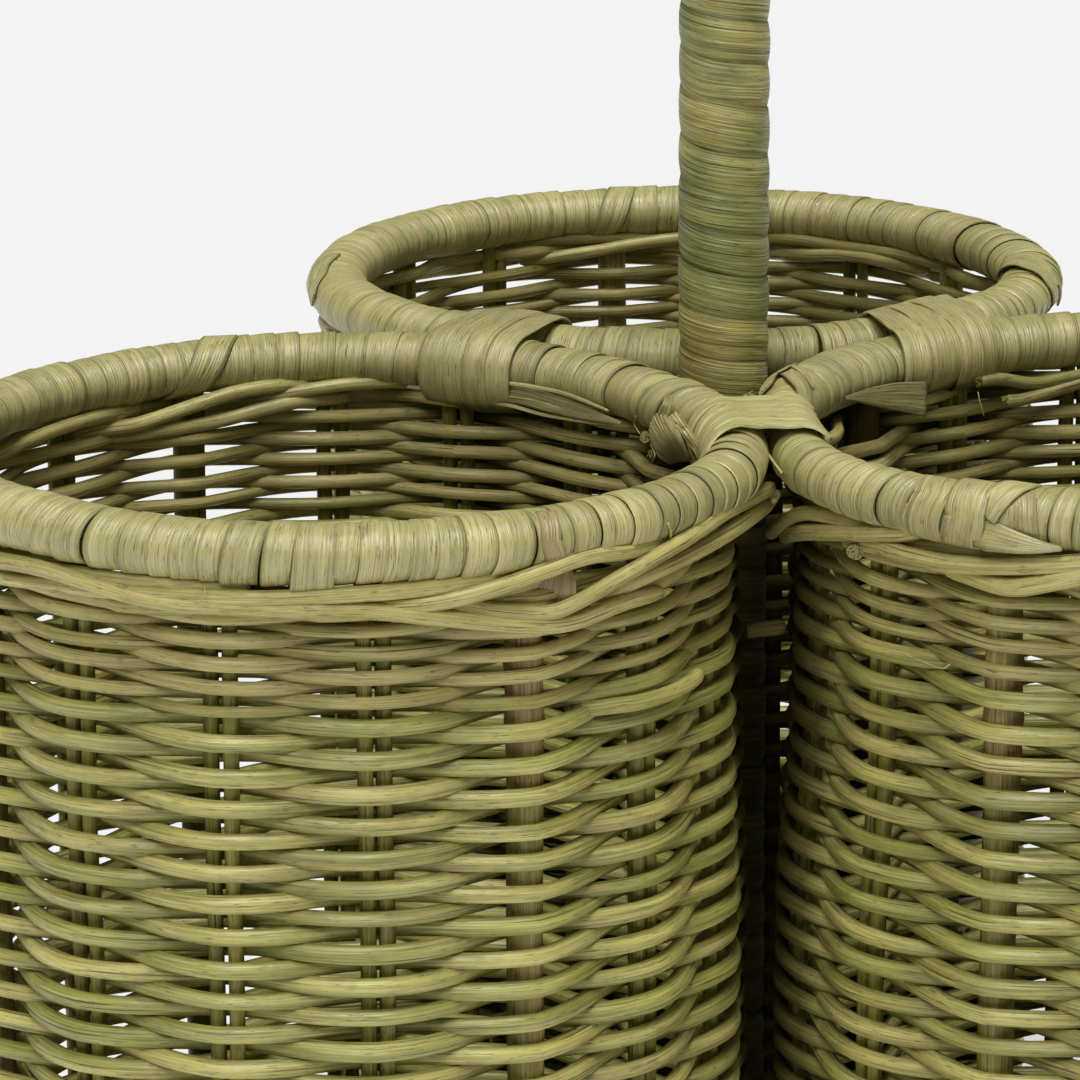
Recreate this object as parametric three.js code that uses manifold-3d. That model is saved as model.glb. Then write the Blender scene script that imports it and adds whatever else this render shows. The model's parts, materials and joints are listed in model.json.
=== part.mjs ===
// Three-cell wine bottle basket in woven rattan with a central wrapped pole handle.
// Millimetres, +Z up. z = 0 is the surface the basket stands on; the origin is below the middle of its
// overall box. Three equal round cells stand round the pole: one towards +Y (back), two towards -Y
// (left at -X, right at +X). Every cell is built the same way in its own frame, with local +X pointing
// away from the pole, and is then placed by a group.
import * as THREE from "three";
import { mergeVertices } from "three/addons/utils/BufferGeometryUtils.js";
import Module from "manifold-3d";

// ---- driving dimensions ------------------------------------------------------------------------
const GAP = 0.3; // clearance between touching pieces
const SEG = 32; // facets round a cell
const SEG_LOW = 24; // facets round its hidden or lower rings
const CELL_DIST = 70.0; // pole axis to a cell's axis
const POLE_Y = -17.5; // middle of the three cells, so that the overall box is centred on Y
const POLE_X = -1.7; // the pole stands a little off that middle
const RIM_OUTER_R = 60.0; // outermost radius of the wrapped rim
const RIM_A = 4.86; // wrapped rim, half width across (radial)
const RIM_B = 3.92; // wrapped rim, half height
const RIM_R = RIM_OUTER_R - RIM_A; // rim centre line radius
const RIM_Z = 168.0; // rim centre line height
const HOOP_A = 3.1; // bent hoop inside the wrap, half width
const HOOP_B = 2.3; // half height
const WRAP_IN_A = 3.95; // inside of the wrap
const WRAP_IN_B = 3.05;
const STAKE_R = 54.1; // circle on which the uprights stand
const WALL_IN = 50.6; // woven wall, inner radius
const WALL_OUT = 57.6; // woven wall, outer radius
const WALL_Z0 = 7.3; // bottom of the wall, just above the foot border
const WALL_SPLIT = 146.0; // change from thick to thin weavers
const WALL_Z1 = 163.7; // top of the wall, just below the rim wrap
const POST_R = 2.5; // thick upright
const POST_Z0 = 1.2;
const POST_Z1 = 165.0;
const PAIR_W = 4.1; // two thin stakes side by side
const PAIR_T = 1.9;
const PAIR_TOP = 162.0;
const BASE_Z0 = 7.3; // woven base disc
const BASE_Z1 = 13.3;
const BASE_R = 49.9;
const SPOKE_Z = 10.3; // the stakes cross the base at this height
const BEND_R = 5.0; // and turn up into the wall
const HUB_R = 13.0; // crossing of the stakes
const HUB_T = 2.3;
const FOOT_R = 54.6; // plaited foot border, centre line radius
const FOOT_A = 4.4;
const FOOT_H = 7.0;
const POLE_CORE_R = 5.4; // handle cane
const POLE_WRAP_IN = 5.7;
const POLE_WRAP_OUT = 6.4;
const POLE_Z0 = 2.0;
const LOOP_FORK_Z = 256.5; // where the two legs of the loop meet
const LOOP_R = 38.0; // loop, centre line radius
const LOOP_LEAN = 40; // degrees, each leg from the vertical
const SLEEVE_Z0 = 243.8; // binding over the fork
const SLEEVE_Z1 = 263.0;
const SLEEVE_R = 7.2;
const NAIL_R = 0.8;
const NAIL_TIP = 2.5; // how near a nail comes to the pole axis
const BASE_NAIL_Z = 18.0;
const BIND_LEN = 12.0; // width of the cane binding at a rim junction
// how much farther out than the junction each binding sits
const BIND_OUT = { left_right_binding: 2.3, left_back_binding: 3.3, right_back_binding: 0.0 };
const BIND_OUT_MAX = 3.3;
const BIND_T = 0.9;
const PACK_TOP = [158.4, 166.4]; // cane packing round the pole, under the rims' upper edge
const PACK_LOW = [12.0, 24.0]; // and between the walls, low down
const PEG_Z = 140.0; // thin peg across the space between two walls
const PEG_R = 1.15;
const PEG_LEN = 5.4;

// ---- finishes ----------------------------------------------------------------------------------
const finish = (color, roughness) =>
  new THREE.MeshStandardMaterial({ color, roughness, metalness: 0 });
const CANE = finish(0xaba56f, 0.55); // flat peel used for wraps and bindings
const WEAVER = finish(0x96905a, 0.6); // round weavers
const STAKE = finish(0x857c46, 0.65); // uprights
const POLEWOOD = finish(0x8d8a55, 0.6);
const STEEL = new THREE.MeshStandardMaterial({ color: 0x8b8b88, roughness: 0.35, metalness: 0.9 });

// ---- solids ------------------------------------------------------------------------------------
const wasm = await Module();
wasm.setup();

function solid(geometry) {
  const bare = geometry.index ? geometry.toNonIndexed() : geometry.clone();
  const only = new THREE.BufferGeometry().setAttribute("position", bare.getAttribute("position"));
  const merged = mergeVertices(only, 1e-4);
  const tri = [];
  const idx = merged.index.array;
  for (let i = 0; i < idx.length; i += 3)
    if (idx[i] !== idx[i + 1] && idx[i + 1] !== idx[i + 2] && idx[i] !== idx[i + 2])
      tri.push(idx[i], idx[i + 1], idx[i + 2]);
  const make = (t) =>
    new wasm.Manifold(
      new wasm.Mesh({
        numProp: 3,
        vertProperties: merged.attributes.position.array,
        triVerts: new Uint32Array(t),
      }),
    );
  const s = make(tri);
  if (s.volume() > 0) return s;
  for (let i = 0; i < tri.length; i += 3) [tri[i + 1], tri[i + 2]] = [tri[i + 2], tri[i + 1]];
  return make(tri);
}

function geometryOf(s) {
  const m = s.getMesh();
  const n = m.numProp;
  const v = new Float32Array((m.vertProperties.length / n) * 3);
  for (let i = 0; i < v.length / 3; i++)
    for (let k = 0; k < 3; k++) v[3 * i + k] = m.vertProperties[n * i + k];
  const g = new THREE.BufferGeometry();
  g.setAttribute("position", new THREE.BufferAttribute(v, 3));
  g.setIndex(new THREE.BufferAttribute(new Uint32Array(m.triVerts), 1));
  g.computeVertexNormals();
  return g;
}

const unite = (list) => list.slice(1).reduce((a, b) => a.add(b), list[0]);

// A closed profile of [radius, z] pairs turned round the Z axis.
function turned(profile, segments = SEG) {
  const g = new THREE.LatheGeometry(
    profile.map(([r, z]) => new THREE.Vector2(r, z)),
    segments,
  );
  g.rotateX(Math.PI / 2);
  // facets start on local +X, whatever the class's own start angle is
  g.rotateZ(Math.PI / 2);
  return solid(g);
}

const ringProfile = (r0, r1, z0, z1) => [
  [r0, z0],
  [r1, z0],
  [r1, z1],
  [r0, z1],
  [r0, z0],
];

// An upright or lying cylinder between two points.
function rod(a, b, r, sides = 8) {
  const A = new THREE.Vector3(...a);
  const B = new THREE.Vector3(...b);
  const g = new THREE.CylinderGeometry(r, r, A.distanceTo(B), sides);
  g.applyQuaternion(
    new THREE.Quaternion().setFromUnitVectors(
      new THREE.Vector3(0, 1, 0),
      B.clone().sub(A).normalize(),
    ),
  );
  g.translate((a[0] + b[0]) / 2, (a[1] + b[1]) / 2, (a[2] + b[2]) / 2);
  return solid(g);
}

// A path through given points, swept station by station.
class Stations extends THREE.Curve {
  constructor(points) {
    super();
    this.points = points;
  }
  getPoint(t) {
    const n = this.points.length - 1;
    const i = Math.min(n - 1, Math.floor(t * n));
    return this.points[i].clone().lerp(this.points[i + 1], t * n - i);
  }
  getSpacedPoints() {
    return this.points.map((p) => p.clone());
  }
  getTangentAt(u, target = new THREE.Vector3()) {
    const n = this.points.length - 1;
    const i = Math.round(u * n);
    const before = i > 0 ? this.points[i].clone().sub(this.points[i - 1]).normalize() : null;
    const after = i < n ? this.points[i + 1].clone().sub(this.points[i]).normalize() : null;
    target.set(0, 0, 0);
    if (before) target.add(before);
    if (after) target.add(after);
    return target.normalize();
  }
}

function swept(points, shape) {
  return solid(
    new THREE.ExtrudeGeometry(shape, {
      steps: points.length - 1,
      bevelEnabled: false,
      curveSegments: 1,
      extrudePath: new Stations(points),
    }),
  );
}

function polygon(n, a, b, turn = 0) {
  const pts = [];
  for (let i = 0; i < n; i++) {
    const t = turn + (2 * Math.PI * i) / n;
    pts.push(new THREE.Vector2(a * Math.cos(t), b * Math.sin(t)));
  }
  return new THREE.Shape(pts);
}

const deg = (d) => (d * Math.PI) / 180;

// ---- one cell, in its own frame ----------------------------------------------------------------
// The uprights stand unevenly, as they were set by hand: degrees from the cell's outward direction.
const POST_ANGLES = {
  left: { outer: -2.5, side_a: 84.4, inner: 173.5, side_b: 260.8 },
  right: { outer: -8, side_a: 82, inner: 171, side_b: 260.8 },
  back: { outer: 5.7, side_a: 95, inner: 187.4, side_b: 275 },
};
const PAIR_ANGLES = {
  left: [19.9, 41.3, 62.4, 106, 128.5, 151, 195.5, 217, 237.5, 284, 308, 333],
  right: [15, 37.5, 60, 104.5, 127, 149, 193.5, 216, 238.2, 283.5, 306.5, 329.5],
  back: [29, 51.5, 73, 117.5, 140, 163, 208, 230, 252, 297.5, 320, 343],
};

const postSolid = (angle, grow = 0) => {
  const x = STAKE_R * Math.cos(deg(angle));
  const y = STAKE_R * Math.sin(deg(angle));
  return rod([x, y, POST_Z0 - grow], [x, y, POST_Z1 + grow], POST_R + grow, 8);
};

// Down the wall and along the base to just past its middle, in the X-Z plane.
function pairPath(top, grow) {
  const pts = [new THREE.Vector3(STAKE_R, 0, top)];
  for (const t of [0, 45, 90])
    pts.push(
      new THREE.Vector3(
        STAKE_R - BEND_R + BEND_R * Math.cos(deg(t)),
        0,
        SPOKE_Z + BEND_R - BEND_R * Math.sin(deg(t)),
      ),
    );
  pts.push(new THREE.Vector3(-1.5 - grow, 0, SPOKE_Z));
  return pts;
}

// Two thin stakes side by side, PAIR_W across the path's plane. Which way round a sweep lays its
// outline is read off the result: the first try is kept if it is wide along Y.
function pairSolid(angle, grow = 0) {
  const w = PAIR_W / 2 + grow;
  const t = PAIR_T / 2 + grow;
  const cut = grow > 0 ? 0 : 0.45 * t; // the room for a pair has square corners
  const outline = [
    [-w, cut > 0 ? 0 : -t],
    [-w + cut, -t],
    [w - cut, -t],
    [w, cut > 0 ? 0 : -t],
    [w, cut > 0 ? 0 : t],
    [w - cut, t],
    [-w + cut, t],
    [-w, cut > 0 ? 0 : t],
  ].filter(([x, y], i, all) => i === 0 || x !== all[i - 1][0] || y !== all[i - 1][1]);
  const [fx, fy] = outline[0];
  const [lx, ly] = outline[outline.length - 1];
  if (fx === lx && fy === ly) outline.pop();
  const lay = (swap) =>
    swept(
      pairPath(PAIR_TOP + grow, grow),
      new THREE.Shape(outline.map(([x, y]) => new THREE.Vector2(swap ? y : x, swap ? x : y))),
    );
  const first = lay(false);
  const one = first.boundingBox().max[1] > 0.8 * w ? first : lay(true);
  return one.rotate([0, 0, angle]);
}

// The crossing in the middle of the base, where the stakes meet.
const hub = (grow) =>
  rod(
    [0, 0, SPOKE_Z - HUB_T / 2 - grow],
    [0, 0, SPOKE_Z + HUB_T / 2 + grow],
    HUB_R + grow,
    24,
  );
const stakesOf = (cell, grow = 0) =>
  unite([hub(grow), ...PAIR_ANGLES[cell].map((a) => pairSolid(a, grow))]);
const postRoomOf = (cell) => unite(Object.values(POST_ANGLES[cell]).map((a) => postSolid(a, GAP)));

const rimNail = (grow = 0) =>
  rod([-(CELL_DIST - NAIL_TIP) - grow, 0, RIM_Z], [-51.6 + grow, 0, RIM_Z], NAIL_R + grow, 8);
const baseNail = (grow = 0) =>
  rod(
    [-(CELL_DIST - NAIL_TIP) - grow, 0, BASE_NAIL_Z],
    [-50.0, 0, BASE_NAIL_Z],
    NAIL_R + grow,
    8,
  ).add(rod([-50.2, 0, BASE_NAIL_Z], [-49.4, 0, BASE_NAIL_Z], 1.8 + grow, 10));

// Rim wrap: a C section, open below where the wall enters it.
const wrapProfile = (() => {
  const pts = [];
  const from = 293 - 360;
  const to = 218;
  for (let i = 0; i <= 6; i++) {
    const t = deg(from + ((to - from) * i) / 6);
    pts.push([RIM_R + RIM_A * Math.cos(t), RIM_Z + RIM_B * Math.sin(t)]);
  }
  for (let i = 5; i >= 0; i--) {
    const t = deg(from + ((to - from) * i) / 5);
    pts.push([RIM_R + WRAP_IN_A * Math.cos(t), RIM_Z + WRAP_IN_B * Math.sin(t)]);
  }
  pts.push(pts[0].slice());
  return pts;
})();

const ellipseProfile = (r, z, a, b, n, turn = 0) => {
  const pts = [];
  for (let i = 0; i <= n; i++) {
    const t = turn + (2 * Math.PI * (i % n)) / n;
    pts.push([r + a * Math.cos(t), z + b * Math.sin(t)]);
  }
  return pts;
};

const rimWrap = turned(wrapProfile).subtract(rimNail(GAP));
const rimHoop = turned(ellipseProfile(RIM_R, RIM_Z, HOOP_A, HOOP_B, 6), SEG_LOW).subtract(
  rimNail(GAP),
);

// Notches where the two bindings of this cell pass under its rim.
const HALF_SPAN = CELL_DIST * Math.sin(deg(60)); // cell axis to the junction with its neighbour
const notch = (angle) => {
  const g = new THREE.BoxGeometry(20, BIND_LEN + 2 * BIND_OUT_MAX + 2 * GAP, 6);
  g.translate(HALF_SPAN - 3, 0, 165.35);
  g.rotateZ(deg(angle));
  return solid(g);
};
const notches = notch(150).add(notch(210));

const wallRing = (z0, z1) => turned(ringProfile(WALL_IN, WALL_OUT, z0, z1), SEG_LOW);
const lowerWall = wallRing(WALL_Z0, WALL_SPLIT - GAP / 2).subtract(baseNail(GAP));
const upperWall = wallRing(WALL_SPLIT + GAP / 2, WALL_Z1).subtract(notches);
const baseDisc = turned([
  [0, BASE_Z0],
  [BASE_R, BASE_Z0],
  [BASE_R, BASE_Z1],
  [0, BASE_Z1],
], SEG_LOW);

const footBorder = turned([
  [FOOT_R - FOOT_A, FOOT_H / 2],
  [FOOT_R - 2.2, 0],
  [FOOT_R + 2.2, 0],
  [FOOT_R + FOOT_A, FOOT_H / 2],
  [FOOT_R + 2.2, FOOT_H],
  [FOOT_R - 2.2, FOOT_H],
  [FOOT_R - FOOT_A, FOOT_H / 2],
], SEG_LOW);

const root = new THREE.Group();
function place(parent, name, s, material) {
  const mesh = new THREE.Mesh(geometryOf(s), material);
  mesh.name = name;
  parent.add(mesh);
  return mesh;
}

const CELLS = { left: 210, right: 330, back: 90 };
for (const [cell, angle] of Object.entries(CELLS)) {
  const group = new THREE.Group();
  group.position.set(CELL_DIST * Math.cos(deg(angle)), POLE_Y + CELL_DIST * Math.sin(deg(angle)), 0);
  group.rotation.z = deg(angle);
  root.add(group);
  const stakeRoom = stakesOf(cell, GAP);
  const postRoom = postRoomOf(cell);
  place(group, `${cell}_rim_hoop`, rimHoop, STAKE);
  place(group, `${cell}_rim_wrap`, rimWrap, CANE);
  place(group, `${cell}_upper_weave`, upperWall.subtract(stakeRoom).subtract(postRoom), WEAVER);
  place(group, `${cell}_wall_weave`, lowerWall.subtract(stakeRoom).subtract(postRoom), WEAVER);
  place(group, `${cell}_base_weave`, baseDisc.subtract(stakeRoom), WEAVER);
  place(group, `${cell}_foot_border`, footBorder.subtract(postRoom), WEAVER);
  place(group, `${cell}_stake_pairs`, stakesOf(cell), STAKE);
  for (const [k, a] of Object.entries(POST_ANGLES[cell]))
    // a nail may pass through the post beside it, so every post carries the bore it would need
    place(group, `${cell}_post_${k}`, postSolid(a).subtract(baseNail(GAP)), STAKE);
  place(group, `${cell}_rim_nail`, rimNail(), STEEL);
  place(group, `${cell}_base_nail`, baseNail(), STEEL);
}

// ---- bindings at the three rim junctions ---------------------------------------------------------
const junction = new THREE.Group();
junction.position.set(0, POLE_Y, 0);
root.add(junction);
const capsule = (a, b, n = 5) => {
  // racetrack of half length a and half height b, with elliptical ends
  const pts = [];
  const end = a - RIM_A - 0.2;
  for (let i = 0; i <= n; i++) {
    const t = -Math.PI / 2 + (Math.PI * i) / n;
    pts.push(new THREE.Vector2(end + (a - end) * Math.cos(t), b * Math.sin(t)));
  }
  for (let i = 0; i <= n; i++) {
    const t = Math.PI / 2 + (Math.PI * i) / n;
    pts.push(new THREE.Vector2(-end + (a - end) * Math.cos(t), b * Math.sin(t)));
  }
  return pts;
};
const bindIn = [11.75, RIM_B + 0.35];
const binding = (() => {
  const shape = new THREE.Shape(capsule(bindIn[0] + BIND_T, bindIn[1] + BIND_T));
  shape.holes.push(new THREE.Path(capsule(...bindIn)));
  const g = new THREE.ExtrudeGeometry(shape, {
    depth: BIND_LEN,
    bevelEnabled: false,
    curveSegments: 1,
  });
  g.translate(0, 0, -BIND_LEN / 2);
  g.rotateX(Math.PI / 2); // shape in X-Z, length along Y
  return solid(g);
})();
for (const [name, angle] of Object.entries({
  left_right_binding: 270,
  left_back_binding: 150,
  right_back_binding: 30,
})) {
  const mesh = place(junction, name, binding, CANE);
  const out = CELL_DIST / 2 + BIND_OUT[name];
  mesh.position.set(out * Math.cos(deg(angle)), out * Math.sin(deg(angle)), RIM_Z);
  mesh.rotation.z = deg(angle + 90);
}

// ---- handle --------------------------------------------------------------------------------------
const handle = new THREE.Group();
handle.position.set(POLE_X, POLE_Y, 0);
root.add(handle);

// All six nails as they lie in the pole's frame, to bore what they pass through.
const nailRoom = unite(
  Object.values(CELLS).flatMap((angle) =>
    [rimNail(GAP), baseNail(GAP)].map((s) =>
      s
        .translate([CELL_DIST, 0, 0])
        .rotate([0, 0, angle])
        .translate([-POLE_X, 0, 0]),
    ),
  ),
);

const lean = deg(LOOP_LEAN);
const loopZ = LOOP_FORK_Z + LOOP_R / Math.sin(lean);
const V = (x, z) => new THREE.Vector3(x, 0, z);
// Right-hand leg: up the pole, a short bend, a straight run and half of the loop.
function leg(sign, from) {
  const pts = [];
  if (from === "pole") {
    pts.push(V(0, POLE_Z0), V(0, LOOP_FORK_Z - 7));
    pts.push(V(sign * 0.9, LOOP_FORK_Z - 1.6));
    pts.push(V(sign * 3.6, LOOP_FORK_Z + 4.3));
  } else {
    pts.push(V(sign * 0.6, LOOP_FORK_Z - 1.5));
    pts.push(V(sign * 3.6, LOOP_FORK_Z + 4.3));
  }
  // the circle, from the tangent point (lean below the horizontal) to the top
  for (let t = -LOOP_LEAN; t <= 90.01; t += 130 / 8)
    pts.push(V(sign * LOOP_R * Math.cos(deg(t)), loopZ + LOOP_R * Math.sin(deg(t))));
  pts.push(V(-sign * 0.4, loopZ + LOOP_R));
  return pts;
}
const core = swept(leg(1, "pole"), polygon(9, POLE_CORE_R, POLE_CORE_R)).add(
  swept(leg(-1, "fork"), polygon(9, POLE_CORE_R, POLE_CORE_R)),
);
const grown = (r) =>
  swept(leg(1, "pole"), polygon(9, r, r)).add(swept(leg(-1, "fork"), polygon(9, r, r)));
const slab = (z0, z1) => {
  const g = new THREE.BoxGeometry(140, 40, z1 - z0);
  g.translate(0, 0, (z0 + z1) / 2);
  return solid(g);
};
const roomR = POLE_WRAP_IN / Math.cos(Math.PI / 9);
const inner = grown(roomR);
place(handle, "handle_cane", core.subtract(nailRoom), POLEWOOD);
place(
  handle,
  "handle_pole_wrap",
  turned(ringProfile(POLE_WRAP_IN, POLE_WRAP_OUT, POLE_Z0 + 1, SLEEVE_Z0 - GAP), 14).subtract(
    nailRoom,
  ),
  CANE,
);
place(
  handle,
  "handle_loop_wrap",
  grown(POLE_WRAP_OUT).intersect(slab(SLEEVE_Z1 + GAP, 400)).subtract(inner),
  CANE,
);
place(
  handle,
  "handle_fork_binding",
  grown(SLEEVE_R).intersect(slab(SLEEVE_Z0, SLEEVE_Z1)).subtract(inner),
  CANE,
);
// Packing fills the three-cornered space between the cells; its bore follows the pole.
const packing = (r, [z0, z1]) => {
  const body = turned([[0, z0], [r, z0], [r, z1], [0, z1]], 16).translate([-POLE_X, 0, 0]);
  const bore = turned([[0, z0 - 1], [6.75, z0 - 1], [6.75, z1 + 1], [0, z1 + 1]], 14);
  return body.subtract(bore).subtract(nailRoom);
};
place(handle, "handle_rim_packing", packing(9.6, PACK_TOP), CANE);
place(handle, "handle_base_packing", packing(11.9, PACK_LOW), CANE);

// ---- short thin pegs across the spaces between the walls -------------------------------------------
for (const [name, angle] of Object.entries({
  left_right_tie_peg: 270,
  left_back_tie_peg: 150,
  right_back_tie_peg: 30,
})) {
  const mesh = place(
    junction,
    name,
    rod([-PEG_LEN / 2, 0, PEG_Z], [PEG_LEN / 2, 0, PEG_Z], PEG_R, 8),
    STAKE,
  );
  mesh.position.set(
    (CELL_DIST / 2) * Math.cos(deg(angle)),
    (CELL_DIST / 2) * Math.sin(deg(angle)),
    0,
  );
  mesh.rotation.z = deg(angle + 90);
}

export default root;
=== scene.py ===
import json
import math

import bpy
import numpy as np
from mathutils import Matrix

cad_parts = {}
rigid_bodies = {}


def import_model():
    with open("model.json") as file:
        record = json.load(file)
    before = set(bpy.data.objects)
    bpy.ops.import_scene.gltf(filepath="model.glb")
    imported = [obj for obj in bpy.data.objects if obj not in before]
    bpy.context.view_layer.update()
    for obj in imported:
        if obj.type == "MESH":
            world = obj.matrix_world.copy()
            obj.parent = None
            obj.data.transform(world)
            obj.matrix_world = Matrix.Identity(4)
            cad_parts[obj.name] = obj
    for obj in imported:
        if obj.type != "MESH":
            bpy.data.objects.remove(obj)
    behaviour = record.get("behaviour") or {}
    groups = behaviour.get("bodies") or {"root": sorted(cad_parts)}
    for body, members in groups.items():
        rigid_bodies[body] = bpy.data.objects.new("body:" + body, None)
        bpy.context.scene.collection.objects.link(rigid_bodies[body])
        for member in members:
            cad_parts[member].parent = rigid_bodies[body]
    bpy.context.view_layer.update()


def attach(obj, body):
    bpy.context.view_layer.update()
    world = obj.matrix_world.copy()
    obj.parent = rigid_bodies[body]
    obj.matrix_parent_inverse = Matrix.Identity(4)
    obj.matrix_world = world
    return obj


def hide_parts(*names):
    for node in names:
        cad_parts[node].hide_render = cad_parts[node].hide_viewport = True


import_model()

# Three-cell rattan bottle basket. Lengths are in mm until a mesh is made, then metres.
CELL = {"left": 210.0, "right": 330.0, "back": 90.0}  # direction of each cell from the middle
CELL_DIST = 70.0
MID = np.array([0.0, -17.5])
POLE = np.array([-1.7, -17.5])
RIM_R, RIM_A, RIM_B, RIM_Z = 55.14, 4.86, 3.92, 168.0
STAKE_R = 54.1
TAU = 2 * math.pi


def centre(cell):
    a = math.radians(CELL[cell])
    return MID + CELL_DIST * np.array([math.cos(a), math.sin(a)])


# ---- camera -------------------------------------------------------------------------------------
CAM_POS = np.array([-87.3, -705.6, 332.0])
YAW, PITCH, ROLL, F_PX = 0.0849, 0.2653, 0.0061, 4868.2
fwd = np.array([math.sin(YAW) * math.cos(PITCH), math.cos(YAW) * math.cos(PITCH), -math.sin(PITCH)])
side = np.array([math.cos(YAW), -math.sin(YAW), 0.0])
up = np.cross(side, fwd)
cam_x = side * math.cos(ROLL) - up * math.sin(ROLL)
cam_y = side * math.sin(ROLL) + up * math.cos(ROLL)
cam_data = bpy.data.cameras.new("camera")
cam_data.sensor_width = 36.0
cam_data.sensor_fit = "HORIZONTAL"
cam_data.lens = 36.0 * F_PX / 1080.0
cam_data.clip_start = 0.05
cam_data.clip_end = 60.0
camera = bpy.data.objects.new("camera", cam_data)
bpy.context.scene.collection.objects.link(camera)
m = Matrix.Identity(4)
for r in range(3):
    m[r][0], m[r][1], m[r][2], m[r][3] = cam_x[r], cam_y[r], -fwd[r], CAM_POS[r] / 1000
camera.matrix_world = m
bpy.context.scene.camera = camera


def ray(u, v):
    d = fwd + cam_x * (u - 540) / F_PX + cam_y * (540 - v) / F_PX
    return d / np.linalg.norm(d)


def on_wall(cell, u, v, radius, far=False):
    """Where the line of sight through a pixel of a 1080 px frame meets a cell's cylinder."""
    d = ray(u, v)
    c = centre(cell)
    o = CAM_POS[:2] - c
    A = d[:2] @ d[:2]
    B = o @ d[:2]
    C = o @ o - radius**2
    disc = max(B * B - A * C, 0.0)
    t = (-B + (math.sqrt(disc) if far else -math.sqrt(disc))) / A
    return CAM_POS + t * d


def on_level(u, v, z):
    d = ray(u, v)
    return CAM_POS + d * (z - CAM_POS[2]) / d[2]


# ---- mesh building ------------------------------------------------------------------------------
def unit(a):
    return a / np.maximum(np.linalg.norm(a, axis=-1, keepdims=True), 1e-12)


def spline(points, n, closed=False):
    """n points evenly along a Catmull-Rom curve through points."""
    p = np.asarray(points, float)
    if closed:
        q = np.vstack([p[-1], p, p[0], p[1]])
    else:
        q = np.vstack([2 * p[0] - p[1], p, 2 * p[-1] - p[-2]])
    segs = len(q) - 3
    t = np.linspace(0, 1, 24, endpoint=False)[:, None]
    out = []
    for i in range(segs):
        a, b, c, d = q[i : i + 4]
        out.append(
            0.5
            * (
                2 * b
                + (c - a) * t
                + (2 * a - 5 * b + 4 * c - d) * t**2
                + (-a + 3 * b - 3 * c + d) * t**3
            )
        )
    fine = np.vstack(out + [p[:1] if closed else p[-1:]])
    s = np.concatenate([[0], np.cumsum(np.linalg.norm(np.diff(fine, axis=0), axis=1))])
    at = np.linspace(0, s[-1], n, endpoint=not closed)
    return np.stack([np.interp(at, s, fine[:, k]) for k in range(3)], 1)


def oval(sides, wobble=0.0, rng=None):
    """Section of a round strand: columns are the share along the normal and along the binormal."""
    a = np.arange(sides) * TAU / sides
    r = np.ones(sides)
    if wobble and rng is not None:
        r += wobble * np.sin(2 * a + rng.uniform(0, TAU)) + 0.6 * wobble * np.sin(
            3 * a + rng.uniform(0, TAU)
        )
    return np.stack([np.cos(a) * r, np.sin(a) * r], 1)


# Section of a flat peel: the outer face is crowned, the inner face is flat, the edges are rounded.
# First column: height in thicknesses, second: place across in half widths. The face starts at the
# inner side's middle, so that a seam never shows.
def peel(sides_out=5, crowned=0.22, reach=0.88):
    x = np.linspace(-reach, reach, sides_out)
    crown = 1.0 - crowned * np.abs(x) ** 2.2
    low = max(0.0, crown[0] - 0.65)
    pts = [(low - 0.3, 0.0), (low - 0.3, -0.93), (low, -1.0)]
    pts += [(c, xx) for c, xx in zip(crown, x)]
    pts += [(low, 1.0), (low - 0.3, 0.93)]
    return np.array(pts)


PEEL = peel(5)
PEEL_FINE = peel(7)
PEEL_FLAT = peel(7, 0.22, 0.93)
PEEL_ROUND = peel(9, 0.75, 0.93)


def edged(look, section, low, high, start=0.90):
    """A strip's look darker along its two edges: dirt, and painted shadow where strips overlap."""
    look = np.asarray(look, float).reshape(-1, 1, 4)
    lk = np.repeat(look, len(section), 1)
    x = section[:, 1]
    lk[..., 2] = np.clip(
        lk[..., 2] + low * np.clip((-x - start) / (1 - start), 0, 1) + high * np.clip((x - start) / (1 - start), 0, 1), 0, 1
    )
    return lk


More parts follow.
